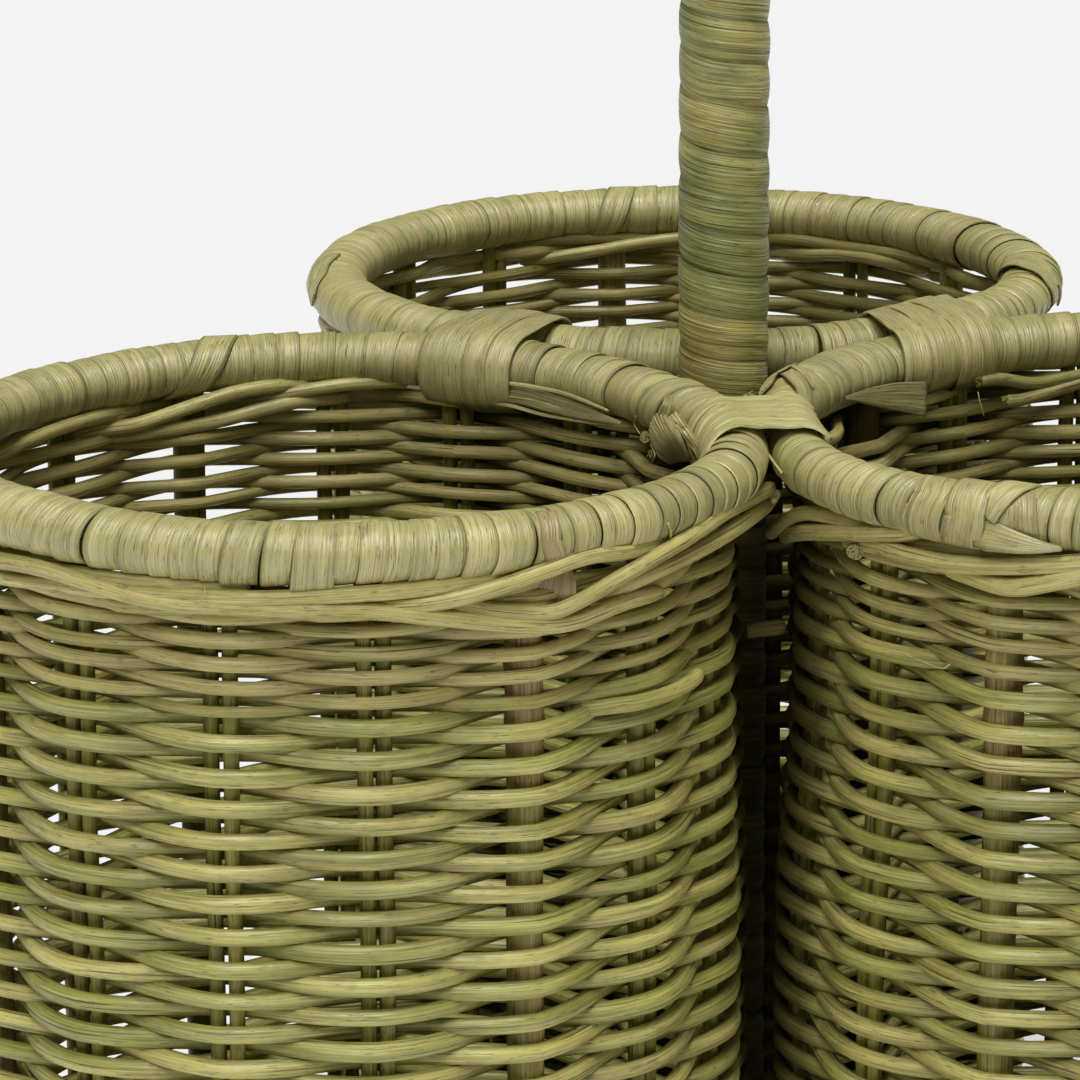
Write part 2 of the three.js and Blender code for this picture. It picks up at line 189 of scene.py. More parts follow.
class Bag:
    """Collects swept strands and makes one mesh of them."""

    def __init__(self):
        self.v, self.look, self.loops, self.starts = [], [], [], []
        self.strand, self.atlas, self.rect_of, self.rects, self.flat = [], [], [], [], []
        self.n_v = 0
        self.n_l = 0

    def sweep(self, path, normal, section, size, look, closed=False, caps=True, along=None, chunk=400.0):
        """path (N,3); normal (N,3); section (S,2); size (N,2) scales it; look (4,), (N,4) or (N,S,4)."""
        path = np.asarray(path, float)
        n_p, n_s = len(path), len(section)
        if closed:
            t = unit(np.roll(path, -1, 0) - np.roll(path, 1, 0))
        else:
            t = unit(np.gradient(path, axis=0))
        nn = np.broadcast_to(np.asarray(normal, float), path.shape)
        nn = unit(nn - (nn * t).sum(1, keepdims=True) * t)
        bb = np.cross(t, nn)
        size = np.broadcast_to(np.asarray(size, float), (n_p, 2))
        sec = np.broadcast_to(section, (n_p, n_s, 2))
        pts = (
            path[:, None]
            + (sec[:, :, 0] * size[:, :1])[..., None] * nn[:, None]
            + (sec[:, :, 1] * size[:, 1:])[..., None] * bb[:, None]
        )
        self.v.append(pts.reshape(-1, 3))
        look = np.asarray(look, float)
        if look.ndim == 3:
            self.look.append(np.broadcast_to(look, (n_p, n_s, 4)).reshape(-1, 4))
        else:
            self.look.append(np.repeat(np.broadcast_to(look, (n_p, 4)), n_s, 0))
        # lengths along and round, in mm
        step = np.linalg.norm(np.roll(path, -1, 0) - path, axis=1)
        u = np.concatenate([[0], np.cumsum(step)])
        mean = section * size.mean(0)
        g = np.concatenate([[0], np.cumsum(np.linalg.norm(np.roll(mean, -1, 0) - mean, axis=1))])
        rows = n_p if closed else n_p - 1
        i = np.arange(rows)[:, None]
        j = np.arange(n_s)[None]
        i2 = (i + 1) % n_p
        j2 = (j + 1) % n_s
        quad = np.stack(
            [i * n_s + j, i * n_s + j2, i2 * n_s + j2, i2 * n_s + j], -1
        ).reshape(-1, 4)
        self.loops.append((quad + self.n_v).reshape(-1))
        self.starts.append(self.n_l + np.arange(len(quad)) * 4)
        self.flat.append(np.zeros(len(quad), bool))
        self.n_l += quad.size
        off = np.array([0.0, 0.0]) if along is None else np.asarray(along, float)
        ui = np.broadcast_to(u[:-1][:rows, None], (rows, n_s))
        uj = np.broadcast_to(u[1:][:rows, None], (rows, n_s))
        gi = np.broadcast_to(g[:-1][None], (rows, n_s))
        gj = np.broadcast_to(g[1:][None], (rows, n_s))
        uv = np.stack(
            [np.stack([ui, gi], -1), np.stack([ui, gj], -1), np.stack([uj, gj], -1), np.stack([uj, gi], -1)],
            2,
        ).reshape(-1, 2)
        self.strand.append(uv + off)
        # atlas rectangles, cut where a strand is long
        part = (u[:rows] // chunk).astype(int)
        base = len(self.rects)
        local = uv.reshape(rows, n_s, 4, 2).copy()
        for c in range(part.max() + 1):
            rows_c = np.flatnonzero(part == c)
            lo, hi = u[rows_c[0]], u[rows_c[-1] + 1]
            local[rows_c, :, :, 0] -= lo
            self.rects.append((hi - lo, g[-1]))
        self.atlas.append(local.reshape(-1, 2))
        self.rect_of.append(np.repeat(base + part, n_s * 4))
        if caps and not closed:
            for ring, flip in ((np.arange(n_s), True), (np.arange(n_s) + (n_p - 1) * n_s, False)):
                order = ring[::-1] if flip else ring
                self.loops.append(order + self.n_v)
                self.starts.append(np.array([self.n_l]))
                self.flat.append(np.ones(1, bool))
                self.n_l += n_s
                local_cap = mean - mean.min(0)
                local_cap = local_cap[::-1] if flip else local_cap
                self.strand.append(local_cap + off)
                self.rects.append(tuple(np.ptp(mean, axis=0)))
                self.atlas.append(local_cap)
                self.rect_of.append(np.full(n_s, len(self.rects) - 1))
        self.n_v += n_p * n_s

    def tube(self, path, normal, radius, look, sides=8, closed=False, wobble=0.0, rng=None, **more):
        radius = np.asarray(radius, float)
        size = np.stack([np.broadcast_to(radius[..., 0] if radius.ndim and radius.shape[-1] == 2 else radius, (len(path),)),
                         np.broadcast_to(radius[..., 1] if radius.ndim and radius.shape[-1] == 2 else radius, (len(path),))], 1)
        self.sweep(path, normal, oval(sides, wobble, rng), size, look, closed=closed, **more)

    def pack_atlas(self):
        rects = np.array(self.rects)
        pad = 0.35
        size = rects + pad
        area = size.prod(1).sum()
        width = max(size[:, 0].max(), math.sqrt(area) * 1.02)
        order = np.lexsort((-size[:, 0], -np.round(size[:, 1], 1)))
        pos = np.zeros_like(rects)
        x = y = h = 0.0
        for k in order:
            w, t = size[k]
            if x + w > width + 1e-6:
                x, y, h = 0.0, y + h, 0.0
            pos[k] = x, y
            x += w
            h = max(h, t)
        scale = 0.998 / max(width, y + h)
        which = np.concatenate(self.rect_of)
        return (np.concatenate(self.atlas) + pos[which] + pad / 2) * scale + 0.001

    def make(self, name, material, replaces=()):
        me = bpy.data.meshes.new(name)
        co = np.concatenate(self.v) / 1000.0
        loops = np.concatenate(self.loops).astype(np.int32)
        starts = np.concatenate(self.starts).astype(np.int32)
        order = np.argsort(starts, kind="stable")
        starts = starts[order]
        me.vertices.add(len(co))
        me.vertices.foreach_set("co", co.astype(np.float32).ravel())
        me.loops.add(len(loops))
        me.loops.foreach_set("vertex_index", loops)
        me.polygons.add(len(starts))
        me.polygons.foreach_set("loop_start", starts)
        me.update(calc_edges=True)
        me.polygons.foreach_set("use_smooth", ~np.concatenate(self.flat)[order])
        uv = me.uv_layers.new(name="Strand")
        uv.data.foreach_set("uv", np.concatenate(self.strand).astype(np.float32).ravel())
        uv = me.uv_layers.new(name="OFBake")
        uv.data.foreach_set("uv", self.pack_atlas().astype(np.float32).ravel())
        me.uv_layers["OFBake"].active_render = True
        at = me.attributes.new("look", "FLOAT_COLOR", "POINT")
        at.data.foreach_set("color", np.concatenate(self.look).astype(np.float32).ravel())
        me.materials.append(material)
        me.update()
        ob = bpy.data.objects.new(name, me)
        bpy.context.scene.collection.objects.link(ob)
        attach(ob, "root")
        if replaces:
            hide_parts(*replaces)
        return ob


def noise_ring(rng, n, harmonics, size):
    """Smooth periodic noise with n samples."""
    a = np.arange(n) * TAU / n
    out = np.zeros(n)
    for h in harmonics:
        out += rng.normal(0, 1) * np.sin(h * a + rng.uniform(0, TAU))
    return out * size / math.sqrt(len(harmonics) / 2)


def noise_line(rng, n, knots, size):
    k = rng.normal(0, size, knots)
    x = np.linspace(0, knots - 1, n)
    i = np.minimum(x.astype(int), knots - 2)
    f = x - i
    f = f * f * (3 - 2 * f)
    return k[i] * (1 - f) + k[i + 1] * f


# ---- materials ----------------------------------------------------------------------------------
def lin(r, g, b):
    f = lambda c: c / 255 / 12.92 if c / 255 <= 0.04045 else ((c / 255 + 0.055) / 1.055) ** 2.4
    return (f(r), f(g), f(b), 1.0)


def rattan(name, pale, green, brown, streak, roughness, fibres=9.0, bump=0.35, sheen=0.0, brown_share=0.45,
           contrast=1.0, spots=0.5, fine_per_mm=4.2, crack=0.8, ribs=0.0, gloss=0.5):
    """Rattan or cane. Colours vary from strand to strand by the look attribute (R shade, G greenness,
    B grime and painted shade, A brownness), and along each strand by noise drawn out along the fibres."""
    mat = bpy.data.materials.new(name)
    mat.use_nodes = True
    nt = mat.node_tree
    nt.nodes.clear()
    N = nt.nodes.new
    L = nt.links.new

    def math_node(op, a, b=None, clamp=False):
        n = N("ShaderNodeMath")
        n.operation = op
        n.use_clamp = clamp
        for k, x in enumerate((a, b)):
            if x is None:
                continue
            if isinstance(x, (int, float)):
                n.inputs[k].default_value = x
            else:
                L(x, n.inputs[k])
        return n.outputs[0]

    def ramp(x, lo, hi, a=0.0, b=1.0):
        n = N("ShaderNodeMapRange")
        n.interpolation_type = "SMOOTHSTEP"
        L(x, n.inputs[0])
        for k, val in enumerate((lo, hi, a, b)):
            n.inputs[k + 1].default_value = val
        return n.outputs[0]

    def mix(fac, a, b, kind="MIX"):
        n = N("ShaderNodeMix")
        n.data_type = "RGBA"
        n.blend_type = kind
        if isinstance(fac, (int, float)):
            n.inputs[0].default_value = fac
        else:
            L(fac, n.inputs[0])
        for k, x in ((6, a), (7, b)):
            if isinstance(x, tuple):
                n.inputs[k].default_value = x
            else:
                L(x, n.inputs[k])
        return n.outputs[2]

    uv = N("ShaderNodeUVMap")
    uv.uv_map = "Strand"
    look = N("ShaderNodeAttribute")
    look.attribute_name = "look"
    sep = N("ShaderNodeSeparateColor")
    L(look.outputs["Color"], sep.inputs[0])
    shade, greenness, grime_and_shade = sep.outputs[0], sep.outputs[1], sep.outputs[2]
    brownness = look.outputs["Alpha"]
    sx = N("ShaderNodeSeparateXYZ")
    L(uv.outputs[0], sx.inputs[0])

    def place(su, sv, seed):
        c = N("ShaderNodeCombineXYZ")
        L(math_node("MULTIPLY", sx.outputs[0], su), c.inputs[0])
        L(math_node("MULTIPLY", sx.outputs[1], sv), c.inputs[1])
        L(math_node("MULTIPLY_ADD", shade, 37.0 + seed), c.inputs[2])
        c.inputs[2].links[0].from_node.inputs[2].default_value = seed * 3.1
        return c.outputs[0]

    def noise(su, sv, seed, detail=2.0, rough=0.55):
        n = N("ShaderNodeTexNoise")
        n.inputs["Scale"].default_value = 1.0
        n.inputs["Detail"].default_value = detail
        n.inputs["Roughness"].default_value = rough
        L(place(su, sv, seed), n.inputs["Vector"])
        return n.outputs["Fac"]

    broad = noise(0.02, 0.12, 1.0, 2.0)
    patch = noise(0.075, 0.35, 2.0, 3.0)
    streaks = noise(0.05, 1.6 * fibres / 9.0, 3.0, 3.0, 0.6)
    fine = noise(0.10, fine_per_mm, 4.0, 2.0, 0.6)
    cracks = noise(0.035, 2.0 * fibres / 9.0, 5.0, 2.0, 0.5)
    speck = noise(0.55, 1.3, 6.0, 2.0, 0.7)
    mottle = noise(0.22, 0.55, 7.0, 3.0, 0.6)

    g = math_node("ADD", math_node("MULTIPLY", greenness, 0.75), math_node("MULTIPLY", ramp(broad, 0.35, 0.65), 0.4))
    col = mix(ramp(g, 0.15, 0.95), pale, green)
    b = math_node("ADD", math_node("MULTIPLY", brownness, 0.9), math_node("MULTIPLY", ramp(patch, 0.55, 0.78), brown_share))
    col = mix(math_node("MINIMUM", b, 1.0), col, brown)
    # shade: whole strand, then patches along it
    value = math_node("ADD", ramp(shade, 0.0, 1.0, 0.80, 1.14), ramp(patch, 0.25, 0.75, -0.10, 0.10))
    vs = N("ShaderNodeHueSaturation")
    L(col, vs.inputs["Color"])
    L(value, vs.inputs["Value"])
    col = vs.outputs[0]
    col = mix(math_node("MULTIPLY", ramp(streaks, 0.50, 0.72), 0.55 * contrast), col, streak, "MIX")
    col = mix(math_node("MULTIPLY", ramp(fine, 0.42, 0.70), 0.30 * contrast), col, streak, "MIX")
    # pale fibres lightened toward a whitish colour: partly the cane's own pale fibres, partly a painted highlight
    col = mix(math_node("MULTIPLY", ramp(fine, 0.52, 0.28), 0.20 * contrast), col, lin(238, 235, 206), "MIX")
    col = mix(math_node("MULTIPLY", ramp(mottle, 0.50, 0.72), 0.38), col, lin(122, 124, 72), "MIX")
    col = mix(math_node("MULTIPLY", ramp(cracks, 0.655, 0.70), crack), col, lin(60, 50, 18), "MIX")
    col = mix(math_node("MULTIPLY", ramp(speck, 0.70, 0.80), spots), col, lin(72, 58, 22), "MIX")
    dash = noise(0.42, 4.6, 9.0, 2.0, 0.6)
    col = mix(math_node("MULTIPLY", ramp(dash, 0.60, 0.70), 0.65), col, lin(66, 58, 20), "MIX")
    if ribs:
        rib = noise(0.05, ribs, 8.0, 2.5, 0.6)
        col = mix(math_node("MULTIPLY", ramp(rib, 0.50, 0.72), 0.31), col, streak, "MIX")
    # grime and painted shade: the B channel darkens toward dark brown, both for dirt and for painted shade
    col = mix(math_node("MULTIPLY", grime_and_shade, 0.93), col, lin(48, 39, 5), "MIX")

    bsdf = N("ShaderNodeBsdfPrincipled")
    L(col, bsdf.inputs["Base Color"])
    rough = math_node("ADD", ramp(streaks, 0.3, 0.7, roughness - 0.07, roughness + 0.10), ramp(patch, 0.3, 0.7, -0.04, 0.05))
    L(math_node("ADD", rough, math_node("MULTIPLY", grime_and_shade, 0.35)), bsdf.inputs["Roughness"])
    L(math_node("MULTIPLY", math_node("SUBTRACT", 1.0, math_node("MULTIPLY", grime_and_shade, 0.9)), gloss), bsdf.inputs["Specular IOR Level"])
    bsdf.inputs["Sheen Weight"].default_value = sheen
    height = math_node("ADD", math_node("MULTIPLY", fine, 0.5), math_node("MULTIPLY", streaks, 0.9))
    height = math_node("SUBTRACT", height, math_node("MULTIPLY", ramp(dash, 0.60, 0.74), 0.5))
    height = math_node("SUBTRACT", height, math_node("MULTIPLY", ramp(cracks, 0.62, 0.70), 0.8 * crack))
    if ribs:
        height = math_node("SUBTRACT", math_node("MULTIPLY", height, 0.4), math_node("MULTIPLY", rib, 1.6))
    bp = N("ShaderNodeBump")
    bp.inputs["Strength"].default_value = bump
    bp.inputs["Distance"].default_value = 0.00022
    L(height, bp.inputs["Height"])
    L(bp.outputs[0], bsdf.inputs["Normal"])
    out = N("ShaderNodeOutputMaterial")
    L(bsdf.outputs[0], out.inputs[0])
    return mat


M_THICK = rattan("weaver_core", lin(215, 204, 121), lin(164, 167, 77), lin(182, 157, 87), lin(84, 76, 22), 0.38, gloss=0.8, bump=0.6,
                 contrast=1.1, ribs=1.5)
M_THIN = rattan("weaver_fine", lin(200, 188, 118), lin(156, 154, 74), lin(174, 150, 90), lin(104, 92, 36), 0.40, fibres=12)
M_STAKE = rattan("stake_core", lin(182, 172, 84), lin(146, 148, 50), lin(146, 120, 64), lin(74, 62, 20), 0.50, fibres=12)
M_POST = rattan("post_cane", lin(168, 156, 84), lin(144, 142, 58), lin(168, 134, 88), lin(84, 70, 28), 0.52, fibres=7, fine_per_mm=3.0)
M_PEEL = rattan("cane_peel", lin(203, 195, 130), lin(170, 168, 102), lin(180, 150, 98), lin(112, 100, 48), 0.36, fibres=11, bump=0.75,
                brown_share=0.30, fine_per_mm=6.2, contrast=0.85, spots=0.6, crack=0.35, ribs=3.6, gloss=0.95)
M_POLE = rattan("cane_peel_pole", lin(204, 196, 116), lin(138, 149, 72), lin(180, 144, 54), lin(64, 62, 14), 0.40, fibres=11, bump=0.8,
                brown_share=0.25, contrast=1.35, fine_per_mm=4.0, crack=0.9, ribs=2.4, gloss=0.7)
M_BASE = rattan("base_core", lin(188, 178, 110), lin(148, 148, 70), lin(160, 138, 82), lin(94, 84, 32), 0.50)
# the hoop under the rim wrapping has a dark colour: painted shade that shows in the gaps between turns
M_INNER = rattan("hoop_cane", lin(110, 98, 48), lin(88, 86, 36), lin(90, 72, 36), lin(46, 36, 10), 0.65, fibres=8)


# the third value darkens a strand: dirt, or painted shade where it is set for recesses and inner sides
def look_of(rng, shade=0.5, green=0.4, grime_and_shade=0.0, brown=0.0, spread=0.22):
    return np.array(
        [
            np.clip(shade + rng.normal(0, spread), 0, 1),
            np.clip(green + rng.normal(0, spread), 0, 1),
            np.clip(grime_and_shade, 0, 1),
            np.clip(brown + rng.normal(0, 0.04), 0, 1) if brown else max(0.0, rng.normal(-0.05, 0.08)),
        ]
    )


# ---- walls --------------------------------------------------------------------------------------
N_ST = 16
# nodes with remains of brown papery sheath, by pixel, on the posts where they show between the rows
POST_NODES = {("left", 4): [(532, 661), (538, 724)], ("right", 12): [(1014, 672), (1014, 726)]}
SUB = 10
PITCH_LO, PITCH_UP = 2.2328, 1.61
Z_LO = 8.5
N_LO = 62
Z_UP = 146.6
N_UP = 9
R_THICK, R_THIN, R_STAKE = 1.27, 0.97, 1.10
# the uprights stand unevenly; every fourth one is a thick post
UPRIGHTS = {
    "left": [-2.5, 19.9, 41.3, 62.4, 84.4, 106, 128.5, 151, 173.5, 195.5, 217, 237.5, 260.8, 284, 308, 333],
    "right": [-8, 15, 37.5, 60, 82, 104.5, 127, 149, 171, 193.5, 216, 238.2, 260.8, 283.5, 306.5, 329.5],
    "back": [5.7, 29, 51.5, 73, 95, 117.5, 140, 163, 187.4, 208, 230, 252, 275, 297.5, 320, 343],
}
half_of = np.array([2.35 if k % 4 == 0 else R_STAKE for k in range(N_ST)])


def ease(x):
    x = np.clip(x, 0, 1)
    return x * x * (3 - 2 * x)


def bulge(cell, angle, z):
    """How far a wall stands out beyond its round shape; the two front cells press toward each other."""
    at, wide, size, top = {"left": (148, 30, 1.1, 140), "right": (216, 34, 2.5, 138), "back": (0, 30, 0.0, 130)}[cell]
    off = (np.degrees(angle) - at + 180) % 360 - 180
    return size * np.exp(-((off / wide) ** 2)) * ease((top - z) / 45) * ease((z - 8) / 40)


def ring_path(cell, rho, z, angle=None):
    """Points round a cell; angle 0 points away from the middle."""
    n = len(rho)
    a = (np.arange(n) * TAU / n if angle is None else angle) + math.radians(CELL[cell])
    c = centre(cell)
    p = np.stack([c[0] + rho * np.cos(a), c[1] + rho * np.sin(a), z], 1)
    nrm = np.stack([np.cos(a), np.sin(a), np.zeros(n)], 1)
    return p, nrm


def weave_angles(cell, sub=SUB):
    """Angles of a row's stations: sub of them from each upright to the next."""
    a = np.radians(UPRIGHTS[cell])
    b = np.append(a[1:], a[0] + TAU)
    t = np.arange(sub) / sub
    return (a[:, None] * (1 - t) + b[:, None] * t).ravel()


def weave_rho(rng, sign0, radius, press=0.86):
    """Radial place of a row that goes over one upright and behind the next."""
    n = N_ST * SUB
    k = np.arange(n) // SUB
    t = (np.arange(n) % SUB) / SUB
    amp = half_of + radius * press + rng.normal(0, 0.09, N_ST)
    a0, a1 = amp[k], amp[(k + 1) % N_ST]
    s = np.where((k + sign0) % 2 == 0, 1.0, -1.0)
    g = 0.65 * np.cos(math.pi * t) + 0.35 * (1 - 2 * t)
    return STAKE_R + s * g * (a0 * (1 - t) + a1 * t)


def smooth_steps(rng, size):
    """One random value per upright, eased along the row."""
    n = N_ST * SUB
    jit = np.repeat(rng.normal(0, size, N_ST), SUB)
    kernel = np.hanning(SUB * 2 + 1)
    return np.convolve(np.tile(jit, 3), kernel / kernel.sum(), "same")[n : 2 * n]


def painted_row_shade(look, cell, rho, angle, amount=0.95):
    """Painted shade: where a row faces the closed middle of the basket, and where it passes between its neighbours, it
    is painted darker.
    """
    lk = np.tile(np.asarray(look, float), (len(rho), 1))
    off = np.abs(angle % TAU - math.pi)
    inward = np.clip((math.radians(58) - off) / math.radians(22), 0, 1)
    lk[:, 2] = np.clip(lk[:, 2] + amount * inward * np.clip((rho - STAKE_R) / 1.2, 0, 1), 0, 1)
    # painted shade where the row passes behind its neighbours, less in the back cell
    deep = np.exp(-(((rho - STAKE_R) / 1.1) ** 2))  # where it passes between its neighbours
    lk[:, 2] = np.clip(lk[:, 2] + (0.10 if cell == "back" else 0.28) * deep, 0, 1)
    return lk


for cell in CELL:
    rng = np.random.default_rng({"left": 11, "right": 23, "back": 37}[cell])
    lower = Bag()
    n = N_ST * SUB
    angles = weave_angles(cell)
    dz_all = np.zeros(n)
    for i in range(N_LO):
        r = R_THICK * (1 + rng.normal(0, 0.04))
        rho = weave_rho(rng, i, r)
        # rows wander together, and a little each on its own
        dz_all = 0.8 * dz_all + noise_ring(rng, n, (1, 2, 3, 4), 0.12)
        z = Z_LO + PITCH_LO * i + dz_all + smooth_steps(rng, 0.16)
        path, nrm = ring_path(cell, rho + bulge(cell, angles, z), z, angles)
        # the back cell's rows are painted lighter (painted light on its inner wall); the right cell's rows are painted
        # darker (painted shade near the junction)
        look = look_of(rng, 0.92 if cell == "back" else 0.55, 0.48, 0.10 if cell == "right" else 0.0, spread=0.24)
        look[1] = 0.46 + 0.72 * (look[1] - 0.48)
        look = painted_row_shade(look, cell, rho, angles)
        look[:, 1] = np.clip(look[:, 1] + noise_ring(rng, n, (1, 2, 3, 5), 0.14), 0, 1)
        shift = (rng.integers(0, N_ST // 2) * 2 + i + 1) % N_ST * SUB
        path, nrm, look = np.roll(path, -shift, 0), np.roll(nrm, -shift, 0), np.roll(look, -shift, 0)
        thick = r * (1 + noise_ring(rng, n, (2, 3, 5, 7, 11), 0.035))
        size = np.stack([thick * 0.95, thick * 1.0], 1)
        lower.sweep(path, nrm, oval(8, 0.03, rng), size, look, closed=True, along=(rng.uniform(0, 900), rng.uniform(0, 60)))
    lower.make(f"{cell}_wall_weavers", M_THICK, (f"{cell}_wall_weave",))

    upper = Bag()
    for i in range(N_UP):
        r = R_THIN * (1 + rng.normal(0, 0.05))
        rho = weave_rho(rng, N_LO + i, r)
        z = Z_UP + PITCH_UP * i + noise_ring(rng, n, (1, 2, 3, 4), 0.16) + smooth_steps(rng, 0.14)
        path, nrm = ring_path(cell, rho, z, angles)
        look = painted_row_shade(look_of(rng, 0.52, 0.28, brown=0.18), cell, rho, angles)
        shift = (rng.integers(0, N_ST // 2) * 2 + N_LO + i + 1) % N_ST * SUB
        path, nrm, look = np.roll(path, -shift, 0), np.roll(nrm, -shift, 0), np.roll(look, -shift, 0)
        thick = r * (1 + noise_ring(rng, n, (2, 3, 5, 7, 11), 0.045))
        upper.sweep(path, nrm, oval(8, 0.04, rng), np.stack([thick, thick * 1.03], 1), look, closed=True,
                    along=(rng.uniform(0, 900), rng.uniform(0, 60)))
    # one round of three strands under the rim, each long in front and short behind
    z_w = Z_UP + PITCH_UP * N_UP + 0.55
    for m3 in range(3):
        r = 0.98 * (1 + rng.normal(0, 0.05))
        a = np.arange(n) / SUB
        ph = ((a + m3 * 4 / 3) % 4) / 4
        inside = np.exp(-(((ph - 0.5) / 0.10) ** 2))
        rho = STAKE_R + R_STAKE + 1.0 * r + 0.9 * np.exp(-(((ph - 0.05) / 0.22) ** 2)) - inside * 4.3
        rho += 0.5 * np.interp((np.arange(n) / SUB) % 4, [0, 0.5, 1, 3, 3.5, 4], [1.4, 0.7, 0, 0, 0.7, 1.4])
        z = z_w + 1.15 * np.sin(TAU * (ph - 0.25)) + noise_ring(rng, n, (1, 2, 3), 0.15)
        path, nrm = ring_path(cell, rho, z, angles)
        look = painted_row_shade(look_of(rng, 0.66, 0.2, brown=0.1), cell, rho, angles)
        thick = r * (1 + noise_ring(rng, n, (2, 3, 5, 7), 0.05))
        upper.sweep(path, nrm, oval(8, 0.04, rng), np.stack([thick * 0.9, thick * 1.05], 1), look, closed=True,
                    along=(rng.uniform(0, 900), rng.uniform(0, 60)))
    upper.make(f"{cell}_top_weavers", M_THIN, (f"{cell}_upper_weave",))

    # uprights: pairs of thin stakes that meet in the base, and four thick posts
    pairs = Bag()
    c = centre(cell)
    for k in range(N_ST):
        if k % 4 == 0:
            continue
        ang = math.radians(CELL[cell] + UPRIGHTS[cell][k])
        e = np.array([math.cos(ang), math.sin(ang), 0])
        q = np.array([-math.sin(ang), math.cos(ang), 0])
        lean = rng.normal(0, 0.25)
        for sgn in (-1, 1):
            rr = R_STAKE * (1 + rng.normal(0, 0.05))
            ctrl = [(7.0, 10.3)] + [(25.0, 10.3), (42.0, 10.4)]
            ctrl += [(STAKE_R - 5 + 5 * math.sin(math.radians(t)), 10.3 + 5 - 5 * math.cos(math.radians(t))) for t in (10, 45, 80)]
            zs = np.linspace(24, 165.2, 12)
            ctrl += [(STAKE_R + rng.normal(0, 0.08), zz) for zz in zs]
            off = sgn * (1.30 + 0.03 * rng.normal()) + lean * np.linspace(0, 1, len(ctrl)) + rng.normal(0, 0.09, len(ctrl))
            a_k = math.radians(UPRIGHTS[cell][k])
            pts = [np.array([c[0], c[1], 0]) + e * (rad + (bulge(cell, a_k, zz) if rad > 50 else 0)) + q * o + np.array([0, 0, zz])
                   for (rad, zz), o in zip(ctrl, off)]
            path = spline(pts, 70)
            look = np.tile(look_of(rng, 0.52, 0.55, 0.0, brown=0.06, spread=0.16), (70, 1))
            look[:, 2] = np.clip(0.05 + noise_line(rng, 70, 14, 0.10), 0, 1)
            sec = oval(8, 0.05, rng)
            lk = np.repeat(look[:, None], 8, 1)
            # painted shade on the side toward the bottle, less in the back cell
            lk[..., 2] = np.clip(lk[..., 2] + (0.1 if cell == "back" else 0.45) * np.clip(sec[:, 1] + 0.2, 0, 1), 0, 1)  # the side toward the bottle
            pairs.sweep(path, q[None].repeat(70, 0), sec, (rr, rr), lk, along=(rng.uniform(0, 900), rng.uniform(0, 60)))
    pairs.make(f"{cell}_stakes", M_STAKE, (f"{cell}_stake_pairs",))
    for k, tag in ((0, "outer"), (4, "side_a"), (8, "inner"), (12, "side_b")):
        ang = math.radians(CELL[cell] + UPRIGHTS[cell][k])
        e = np.array([math.cos(ang), math.sin(ang), 0])
        q = np.array([-math.sin(ang), math.cos(ang), 0])
        post = Bag()
        m_p = 120
        zs = np.linspace(1.25, 164.95, m_p)
        path = np.array([c[0], c[1], 0]) + e * (STAKE_R + bulge(cell, math.radians(UPRIGHTS[cell][k]), zs) + noise_line(rng, m_p, 8, 0.08))[:, None] \
            + q * noise_line(rng, m_p, 7, 0.12)[:, None]
        path[:, 2] = zs
        rr = 2.45 * (1 + noise_line(rng, m_p, 9, 0.02))
        for node_z in rng.uniform(25, 150, 1):
            rr = rr * (1 + 0.05 * np.exp(-(((zs - node_z) / 2.0) ** 2)))
        look = np.tile(look_of(rng, 0.62, 0.5, 0.02, brown=0.30 if (cell, k) == ("left", 4) else 0.10), (m_p, 1))
        look[:, 3] = np.clip(look[:, 3] + noise_line(rng, m_p, 12, 0.2), 0, 1)
        for u, v in POST_NODES.get((cell, k), ()):
            node_z = on_wall(cell, u, v, STAKE_R + 2.4)[2]
            rr = rr * (1 + 0.13 * np.exp(-(((zs - node_z) / 1.3) ** 2)) + 0.05 * ease((node_z - zs) / 2) * ease((zs - node_z + 9) / 3))
            look[:, 3] = np.clip(look[:, 3] + 0.6 * ease((node_z + 1.5 - zs) / 2) * ease((zs - node_z + 11) / 6), 0, 1)
        # the inner post faces the closed middle and is painted dark all round: painted shade
        if k == 8:
            look[:, 2] = 0.8
        sec = oval(14, 0.02, rng)
        lk = np.repeat(look[:, None], 14, 1)
        # painted shade on the side toward the bottle, less in the back cell
        lk[..., 2] = np.clip(lk[..., 2] + (0.1 if cell == "back" else 0.6) * np.clip(0.3 - sec[:, 0], 0, 1), 0, 1)
        post.sweep(path, e[None].repeat(m_p, 0), sec, np.stack([rr, rr], 1), lk, along=(rng.uniform(0, 900), rng.uniform(0, 60)))
        post.make(f"{cell}_{tag}_post", M_POST, (f"{cell}_post_{tag}",))


